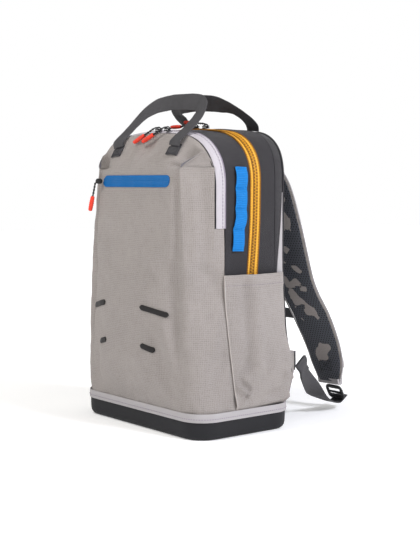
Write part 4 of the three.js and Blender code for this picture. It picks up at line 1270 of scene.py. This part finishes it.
def make_pull(name, loop):
    """Doubled black cord from the slider's bridge to a ribbed red grip."""
    joint = next(j for j in frame["joints"] if j["name"] == f"{name}_pull_hinge")
    start, end = long_axis(f"{name}_pull", np.array(joint["pos_m"]) / MM)
    length = np.linalg.norm(end - start)
    along = unit(end - start)
    side = unit(np.cross(along, [0.1, 0.2, 1.0]))
    up = np.cross(side, along)
    tied, cord, grip = Solid(), Solid(), Solid()
    add_tube(tied, spline([loop, mix(loop, start, 0.5) + 0.8 * up, start], 10), 1.0, sides=6)
    tied.piece(f"{name}_cord_loop", f"{name}_slider", "dark_webbing", "black_webbing")
    twist = np.linspace(0, 1, 40)
    for phase in (0, math.pi):
        turn = phase + twist * 5 * math.pi
        path = start + np.outer(twist * 0.56 * length, along)
        path = path + 0.85 * (np.outer(np.cos(turn), side) + np.outer(np.sin(turn), up))
        add_tube(cord, path, 0.8, sides=6)
    cord.piece(f"{name}_pull_cord", f"{name}_pull", "dark_webbing", "black_webbing")
    rings = []
    for t in np.linspace(0, 1, 30):
        swell = 3.6 * (0.86 + 0.14 * math.sin(math.pi * t)) * min(1, (t / 0.05 + 0.35) ** 0.5)
        swell *= min(1, ((1 - t) / 0.06 + 0.3) ** 0.5)
        swell += 0.28 * math.sin(2 * math.pi * t * 7) if 0.2 < t < 0.8 else 0
        centre = start + (0.47 + 0.53 * t) * length * along
        rings.append([centre + swell * (math.cos(a) * side + 0.78 * math.sin(a) * up) for a in circle(16)])
    add_loft(grip, rings)
    grip.piece(f"{name}_pull_grip", f"{name}_pull", "red", "red_pull", [f"{name}_pull"], sharp=60)


def make_sliders():
    for name in ("main_zip_left", "main_zip_right", "front_zip_left", "front_zip_right", "pocket_zip"):
        make_pull(name, make_slider(name, (0, -1, 0) if name == "pocket_zip" else (0, 0, 1)))


# ---------------------------------------------------------------- handles


def handle_turn(lean, count):
    """Direction across the webbing: along x at its sewn ends, near upright at the top of the loop."""
    u = np.linspace(0, 1, count)
    turn = smoothstep((np.minimum(u, 1 - u) * 2 - 0.26) / 0.6)
    side = np.where(u < 0.5, 1, -1) * (1 - turn)
    return np.stack([side, turn * lean, turn * 0.95], axis=1)


def make_handles():
    count = 150
    over = [
        (74, -48, 439.5), (73, -33, 454), (67, -21, 467), (50, -11, 475.5), (25, -7, 479), (0, -6, 480),
        (-25, -7, 480), (-50, -11, 476.5), (-66, -21, 467), (-72, -37, 451), (-73, -50, 438.5),
    ]
    front = [
        hood_point(70, 0.63, 2.8), hood_point(71, 0.76, 5.5), *over, hood_point(-71, 0.76, 5.5),
        hood_point(-70, 0.63, 2.8),
    ]
    rise = [
        (70, 74.8, 436.5), (70.2, 74.6, 438.6), (72, 71.5, 444), (75, 64, 450), (74.5, 53, 457.5),
        (69, 41, 465.5), (59, 30, 472), (44, 22, 476), (25, 19, 478),
    ]
    rear = [*rise, (0, 18.5, 478.5), *mirrored(rise)[::-1]]
    for name, points, lean in (("front_handle", front, 0.35), ("rear_handle", rear, -0.35)):
        path = spline(points, count)
        path = path + 0.5 * np.stack([wrinkles(path, 22, seed) for seed in (1.0, 5.0, 9.0)], axis=1)
        solid = Solid()
        add_webbing(solid, path, handle_turn(lean, count), HANDLE_WEBBING, across=13)
        solid.piece(f"{name}_webbing", name, "handle", "webbing", [name])


def make_handle_tabs():
    """Sewn ends: doubled webbing with a turned-in edge and a boxed cross of stitches."""
    end_x = 70
    for side, sign in SIDES:
        front, rear = Solid(), Solid()
        shares = np.linspace(0.36, 0.72, 20)
        lifts = mix(2.9, 0.9, smoothstep((shares - 0.58) / 0.07))
        spread = sign * end_x + np.linspace(-0.44, 0.44, 11) * HANDLE_WEBBING
        grid = np.array([[hood_point(x, w, lift) for x in spread] for w, lift in zip(shares, lifts)])
        normal = grid_normals(grid, (0, 0, 300))
        add_sheet(front, grid, WEBBING_THICK, normals=normal, swap=True)
        flat = normal[8, 5]
        corners = [grid[i, j] + 0.2 * flat for i, j in ((3, 1), (3, 9), (12, 9), (12, 1))]
        add_box_stitch(front, corners, flat, tag=1)
        for row in (1, 2):
            add_stitches(front, grid[row] + 0.1 * normal[row], normal[row], 1, 2.0, 0.6, 0.35)
        front.piece(f"front_handle_end_{side}", "hood", ("handle", "handle_thread"), "webbing",
                    [f"front_handle_tab_{side}"])
        path = np.array([[sign * end_x, 74.9, z] for z in np.linspace(433, 412, 16)])
        add_webbing(rear, path, (1, 0, 0), HANDLE_WEBBING)
        corners = [(sign * end_x + dx, 76.0, z) for dx, z in ((-10, 415), (10, 415), (10, 430), (-10, 430))]
        add_box_stitch(rear, corners, (0, 1, 0), tag=1)
        rear.piece(f"rear_handle_end_{side}", "pack", ("handle", "handle_thread"), "webbing",
                   [f"rear_handle_tab_{side}"])


# ---------------------------------------------------------------- shoulder straps

# Stations down the pad: y and z of the outer edge, then y and z of the inner edge.
STRAP_EDGES = np.array([
    [75.5, 402, 75.5, 402], [86, 394, 80, 395], [102, 376, 88, 379], [114, 358, 97, 362],
    [123, 338, 104, 342], [132, 313, 112, 316], [142, 283, 121, 285], [152, 250, 131, 251],
    [164, 213, 144, 214], [176, 190, 156, 190], [195, 162, 173, 162], [210, 134, 190, 134],
    [222, 105, 207, 105], [228, 82, 219, 80], [230, 62, 226, 60], [228, 42, 231, 40],
])
STRAP_LAST = len(STRAP_EDGES) - 1
strap_edge = [smooth_curve(np.column_stack([np.arange(STRAP_LAST + 1), STRAP_EDGES[:, k]])) for k in range(4)]
strap_outer_x = smooth_curve([[0, 106], [3, 112], [13, 112], [15, 104]])
strap_inner_x = smooth_curve([[0, 46], [13, 48], [15, 58]])
strap_half_thick = smooth_curve([[0, 2], [2, 5.5], [13, 5.5], [15, 3.5]])


def strap_middle(i):
    outer = np.array([strap_outer_x(i), strap_edge[0](i), strap_edge[1](i)])
    inner = np.array([strap_inner_x(i), strap_edge[2](i), strap_edge[3](i)])
    return (outer + inner) / 2, (outer - inner) / 2


def strap_frame(i):
    """The pad at a station: its middle, half its width towards the outer edge, and the outward normal."""
    middle, across = strap_middle(i)
    along = strap_middle(min(i + 0.5, STRAP_LAST))[0] - strap_middle(max(i - 0.5, 0))[0]
    return middle, across, unit(np.cross(across, along))


def squarer(value, power):
    """Sine or cosine bent so that a round outline turns towards a square one."""
    return math.copysign(abs(value) ** power, value)


def strap_rings():
    rings = []
    for i in np.linspace(0, STRAP_LAST, 110):
        middle, across, normal = strap_frame(i)
        ring = []
        for angle in circle(28):
            a = squarer(math.cos(angle), 0.45)
            b = squarer(math.sin(angle), 0.75) * (1 - 0.35 * abs(a) ** 5)
            ring.append(middle + a * across + b * strap_half_thick(i) * normal)
        rings.append(ring)
    return np.array(rings)


def puff(pad, pressure, limit):
    """Swells a closed pad by cloth simulation, with each point held to within a limit in mm."""
    frames = 20
    scene = bpy.context.scene
    for other in bpy.context.selected_objects:
        other.select_set(False)
    bpy.context.view_layer.objects.active = pad
    remesh = pad.modifiers.new("Remesh", "REMESH")
    remesh.mode, remesh.voxel_size = "VOXEL", 5 * MM
    bpy.ops.object.modifier_apply(modifier=remesh.name)
    rest = np.array([v.co for v in pad.data.vertices])
    cloth = pad.modifiers.new("Cloth", "CLOTH")
    cloth.settings.use_pressure = True
    cloth.settings.uniform_pressure_force = pressure
    cloth.settings.effector_weights.gravity = 0
    cloth.settings.quality = 6
    cloth.point_cache.frame_start, cloth.point_cache.frame_end = 1, frames
    for number in range(1, frames + 1):
        scene.frame_set(number)
    graph = bpy.context.evaluated_depsgraph_get()
    move = np.array([v.co for v in pad.evaluated_get(graph).data.vertices]) - rest
    pad.modifiers.remove(cloth)
    scene.frame_set(1)
    move *= np.minimum(1, limit * MM / np.maximum(np.linalg.norm(move, axis=1, keepdims=True), 1e-9))
    pad.data.vertices.foreach_set("co", (rest + move).ravel())
    pad.data.polygons.foreach_set("use_smooth", [True] * len(pad.data.polygons))
    smooth = pad.modifiers.new("Fine", "SUBSURF")
    smooth.levels = smooth.render_levels = 1
    bpy.ops.object.modifier_apply(modifier=smooth.name)


def make_strap_pad(side, flip):
    solid = Solid()
    add_loft(solid, strap_rings() * flip)
    pad = solid.piece(f"strap_padding_{side}", f"strap_{side}", "strap_shell", "shell_fabric",
                      [f"strap_pad_{side}"])
    puff(pad, pressure=2.5, limit=1.2)


def make_strap_mesh(side, flip):
    """Mesh on the inner face, crowned between the pad's two bound edges."""
    widest = 0.86
    shares = np.linspace(-widest, widest, 15)
    crown = 1.5 * (1 - (shares / widest) ** 4)
    grid, facing = [], []
    for i in np.linspace(0.55, STRAP_LAST - 0.25, 100):
        middle, across, normal = strap_frame(i)
        deep = 0.78 * strap_half_thick(i) + 0.9
        grid.append([middle + a * across - (deep + c) * normal for a, c in zip(shares, crown)])
        facing.append([-normal] * len(shares))
    facing = np.array(facing) * flip
    grid = crumpled(np.array(grid) * flip, 0.4, 24, 7.0, facing)
    sheet_piece(f"strap_mesh_face_{side}", grid, CLOTH_THICK, f"strap_{side}", "mesh", "spacer_mesh",
                [f"strap_mesh_{side}"], normals=facing)


def make_strap_binding(side, flip):
    """Binding down both edges, and the folded cap that closes the pad's end."""
    trim = Solid()
    for share in (-0.97, 0.97):
        edge = []
        for i in np.linspace(0.3, STRAP_LAST - 0.05, 120):
            middle, across, normal = strap_frame(i)
            edge.append(middle + share * across - 0.45 * strap_half_thick(i) * normal)
        add_tube(trim, np.array(edge) * flip, 1.1)
    middle, across, normal = strap_frame(STRAP_LAST - 0.1)
    down = unit(strap_middle(STRAP_LAST)[0] - strap_middle(STRAP_LAST - 1)[0])
    ring = [(-7, 4.6), (0.5, 4.4), (2.2, 2.6), (2.6, 0), (2.2, -2.6), (0.5, -4.6), (-7, -5.2), (-7, 0)]
    cap = [[middle + s * across + d * down + h * normal for d, h in ring] for s in np.linspace(-1, 1, 16)]
    add_loft(trim, np.array(cap) * flip)
    trim.piece(f"strap_binding_{side}", f"strap_{side}", "band", "pale_fabric")


def make_strap_bartack(side, flip):
    solid = Solid()
    middle, across, normal = strap_frame(STRAP_LAST - 1.6)
    along = unit(strap_middle(STRAP_LAST - 1)[0] - strap_middle(STRAP_LAST - 2)[0])
    place = middle - (0.78 * strap_half_thick(12) + 2.9) * normal
    corners = [place + a * unit(across) + b * along for a, b in ((-11, -8), (11, -8), (11, 8), (-11, 8))]
    add_box_stitch(solid, np.array(corners) * flip, -normal * flip)
    solid.piece(f"strap_bartack_{side}", f"strap_{side}", "dark_thread", "black_webbing")


def make_straps():
    for side, sign in SIDES:
        for make in (make_strap_pad, make_strap_mesh, make_strap_binding, make_strap_bartack):
            make(side, np.array([sign, 1, 1]))


def make_ladder_locks():
    """Moulded ladder lock: a frame with two cross bars that the webbing wraps."""
    wide = np.array([1.0, 0, 0])
    for side, _ in SIDES:
        low, high = node_box(f"ladder_lock_{side}")
        centre_x, half = (low[0] + high[0]) / 2, (high[0] - low[0]) / 2 - 2.2
        top = np.array([centre_x, low[1] + 2.5, high[2] - 1])
        end = np.array([centre_x, high[1] - 2.5, low[2] + 2])
        down = unit(end - top)
        out = unit(np.cross(wide, down))
        length = np.linalg.norm(end - top)
        solid = Solid()
        loop = []
        for angle in np.linspace(0, 2 * math.pi, 41):
            a, b = squarer(math.cos(angle), 0.4) * half, squarer(math.sin(angle), 0.4) * length / 2
            loop.append((top + end) / 2 + a * wide + b * down)
        add_tube(solid, loop, 2.3, sides=10)
        for share, reach, lift, radius in (
            (0.1, half, 0, 2.0), (0.52, half, 0, 1.9), (0.78, half, 0, 1.7), (0.95, half - 3, 1.4, 2.1),
        ):
            place = top + share * length * down + lift * out
            add_tube(solid, [place + s * wide for s in np.linspace(-reach, reach, 9)], radius, sides=10)
        solid.piece(f"ladder_lock_frame_{side}", f"ladder_lock_{side}", "plastic", "black_plastic",
                    [f"ladder_lock_{side}"], sharp=60)


def make_lower_webbing():
    """Webbing from the wing to the ladder lock, with its end folded back on itself at the wing."""
    count, folded = 90, 14
    route = [
        (119, 127, 92), (118, 133, 83), (116, 138, 73), (110, 157, 52), (99, 188, 28), (88, 222, 14),
        (82, 240, 11.5), (80, 256, 20),
    ]
    turn = smoothstep((np.linspace(0, 1, count) - 0.1) / 0.65)
    for side, sign in SIDES:
        path = spline(np.array(route) * [sign, 1, 1], count)
        sides = np.stack([sign * turn, np.zeros(count), 1 - turn], axis=1)
        solid = Solid()
        add_webbing(solid, path, sides, STRAP_WEBBING, across=11)
        back = spline(path[folded::-2] + [sign * 1.9, 0.7, 0.4], 24)
        places = np.linspace(folded, 0, 24).round().astype(int)
        add_webbing(solid, back, sides[places], STRAP_WEBBING, across=11)
        solid.piece(f"lower_webbing_run_{side}", f"strap_{side}", "handle", "webbing",
                    [f"lower_webbing_{side}"])


def make_wings():
    """Cloth wings that the lower webbing is sewn to, with a webbing end over the outer edge."""
    for side, sign in SIDES:
        grid = np.array([
            [[mix(131, 121, s) * sign, mix(95.5, 115, s), mix(mix(48, 84, s), mix(112, 108, s), t)]
             for t in np.linspace(0, 1, 20)] for s in np.linspace(0, 1, 22)
        ])
        grid[..., 0] += sign * 0.8 * wrinkles(grid, 18, 2.0)
        outward = np.broadcast_to(unit(np.array([sign * 19.5, 10.0, 0.0])), grid.shape)
        solid = Solid()
        add_sheet(solid, grid, 2.6, normals=outward)
        for column in (1, -2):
            add_stitches(solid, (grid + 0.1 * outward)[:, column], outward[:, column], tag=1)
        add_sheet(solid, (grid + 1.4 * outward)[-4:], 1.4, tag=2, normals=outward[-4:])
        solid.piece(f"wing_cloth_{side}", "pack", ("shell", "grey_thread", "handle"), "shell_fabric",
                    [f"lower_wing_{side}"])


def make_sternum():
    """Half of the sternum strap: webbing to the middle, with its half of a side-release buckle."""
    up = np.array([0, -0.55, 0.83])
    for side, sign in SIDES:
        start, end = long_axis(f"sternum_strap_{side}", (sign * 60, 180, 150))
        along = unit(end - start)
        axes = along, up, unit(np.cross(along, up))
        strap, buckle = Solid(), Solid()
        path = np.linspace(start, mix(start, end, 0.72), 30)
        path = path + np.outer(0.7 * np.sin(np.linspace(0, math.pi, 30)), [0, 0.83, 0.55])
        add_webbing(strap, path, up, LADDER_WEBBING, 1.7)
        strap.piece(f"sternum_webbing_{side}", f"sternum_{side}", "dark_webbing", "black_webbing",
                    [f"sternum_strap_{side}"])
        middle = mix(start, end, 0.86)
        add_lump(buckle, middle, (6.2, 11.5, 3.4), axes, power=5, rings=9, sides=24)
        for s in (-1, 1):
            add_lump(buckle, middle + s * 9.2 * up + 2.2 * along, (4.0, 1.8, 2.6), axes)
        add_tube(buckle, [middle - 6.4 * along + s * up for s in np.linspace(-10, 10, 9)], 1.8, sides=10)
        buckle.piece(f"sternum_buckle_{side}", f"sternum_{side}", "plastic", "black_plastic", sharp=55)


# ---------------------------------------------------------------- back padding


def pad_rings(x0, x1, z0, z1, thick, corner, clear, channels):
    """Crowned pad against the back, with sewn channels pressed into its face."""
    deepest = 7.5  # how far its face stands in from its foot
    rings = []

    def add_ring(inset, lift, share=1.0):
        width, height = x1 - x0 - 2 * inset, z1 - z0 - 2 * inset
        ring = []
        for px, pz in share * rounded_rectangle(width, height, max(corner - inset, 4), 6, 6):
            x, z = px + (x0 + x1) / 2, pz + (z0 + z1) / 2
            pressed = 0.55 * min(sum(bell(z - channel, 3.0) for channel in channels), 1)
            ring.append([x, back_y(z) + BACK_PROUD + clear + lift * (1 - pressed), z])
        rings.append(ring)

    for turn in np.linspace(0, math.pi / 2, 12):
        add_ring(deepest * (1 - math.cos(turn)) ** 1.3, thick * math.sin(turn))
    for share in (0.85, 0.65, 0.45, 0.25, 0.08):
        add_ring(deepest, thick, share)
    return rings


def make_back_padding():
    upper = (10, 104, 152, 372, 12.5, 22, 0.5, (207, 262, 317))
    lumbar = (-104, 104, 52, 142, 11.5, 24, 2.5, (97,))
    for name, sizes, sign, node in (
        ("back_padding_left", upper, 1, "back_pad_left"), ("back_padding_right", upper, -1, "back_pad_right"),
        ("lumbar_padding", lumbar, 1, "lumbar_pad"),
    ):
        solid = Solid()
        add_loft(solid, np.array(pad_rings(*sizes)) * [sign, 1, 1])
        pad = solid.piece(name, "pack", "pad_mesh", "spacer_mesh", [node])
        puff(pad, pressure=3.0, limit=2.5)


# ---------------------------------------------------------------- stage, light and camera


def place(name, data, location=(0, 0, 0), aim=None):
    """A new object in the scene, its -Z turned along a direction."""
    made = bpy.data.objects.new(name, data)
    made.location = location
    if aim:
        made.rotation_euler = aim.to_track_quat("-Z", "Y").to_euler()
    bpy.context.scene.collection.objects.link(made)
    return made


def make_floor():
    """Pale paper that glows more with distance, so that it meets the white room without an edge."""
    reach = 6.0
    mesh = bpy.data.meshes.new("floor")
    corners = [(x * reach, y * reach, 0) for x, y in ((-1, -1), (1, -1), (1, 1), (-1, 1))]
    mesh.from_pydata(corners, [], [(0, 1, 2, 3)])
    s = Shader("floor_paper", 0.9)
    s.set("Base Color", s.mix(s.noise(400), srgb(247, 247, 247), srgb(251, 251, 251)))
    s.set("Emission Color", (1.0, 1.0, 1.0))
    away = s.node("ShaderNodeVectorMath", Vector=s.nodes.new("ShaderNodeTexCoord").outputs["Object"])
    away.operation = "LENGTH"
    glow = s.node("ShaderNodeMapRange", Value=away.outputs["Value"],
                  From_Min=0.3, From_Max=2.2, To_Min=0.2, To_Max=0.8)
    s.set("Emission Strength", glow.outputs[0])
    mesh.materials.append(s.material)
    place("floor", mesh)


def make_world():
    """A white room, brightest round its horizon and dimmer overhead, so that the lamps shape the folds."""
    world = bpy.data.worlds.new("studio")
    world.use_nodes = True
    nodes, links = world.node_tree.nodes, world.node_tree.links
    height = nodes.new("ShaderNodeSeparateXYZ")
    links.new(nodes.new("ShaderNodeTexCoord").outputs["Generated"], height.inputs[0])
    dim = nodes.new("ShaderNodeMapRange")
    for socket, value in (("From Min", 0.24), ("From Max", 0.5), ("To Min", 1.0), ("To Max", 0.22)):
        dim.inputs[socket].default_value = value
    links.new(height.outputs["Z"], dim.inputs["Value"])
    links.new(dim.outputs[0], nodes["Background"].inputs["Strength"])
    nodes["Background"].inputs["Color"].default_value = (1, 1, 1, 1)
    bpy.context.scene.world = world


def make_lights():
    cool, warm, target = (0.91, 0.925, 1.0), (1.0, 0.98, 0.95), Vector((0, 0, 0.24))
    for name, location, size, watts, colour in (
        ("key_light", (2.3, 0.5, 1.9), 0.8, 70, cool),
        ("top_light", (-0.1, -1.6, 2.6), 0.9, 48, warm),
        ("rear_light", (0.2, 2.4, 1.8), 1.6, 12, warm),
    ):
        data = bpy.data.lights.new(name, "AREA")
        data.shape, data.size, data.energy, data.color = "DISK", size, watts, colour
        place(name, data, location, target - Vector(location))


def make_camera():
    """Long lens from the bag's front left, a little above its middle."""
    data = bpy.data.cameras.new("camera")
    data.sensor_width, data.lens = 36, 78.5
    facing = Vector((-0.7791, 0.6225, -0.0737))
    bpy.context.scene.camera = place("camera", data, (1.3964, -1.067, 0.3623), facing)
    bpy.context.scene.view_settings.view_transform = "Standard"


for make_part in (
    make_floor, make_world, make_lights, make_camera, make_front, make_gusset, make_edge_band,
    make_lower_gusset, make_zip_strip, make_main_zip, make_back, make_inside, make_pockets, make_base,
    make_binding, make_ladders, make_lash_bars, make_pocket_zip, make_sliders, make_handles,
    make_handle_tabs, make_straps, make_ladder_locks, make_lower_webbing, make_wings, make_sternum,
    make_back_padding,
):
    make_part()
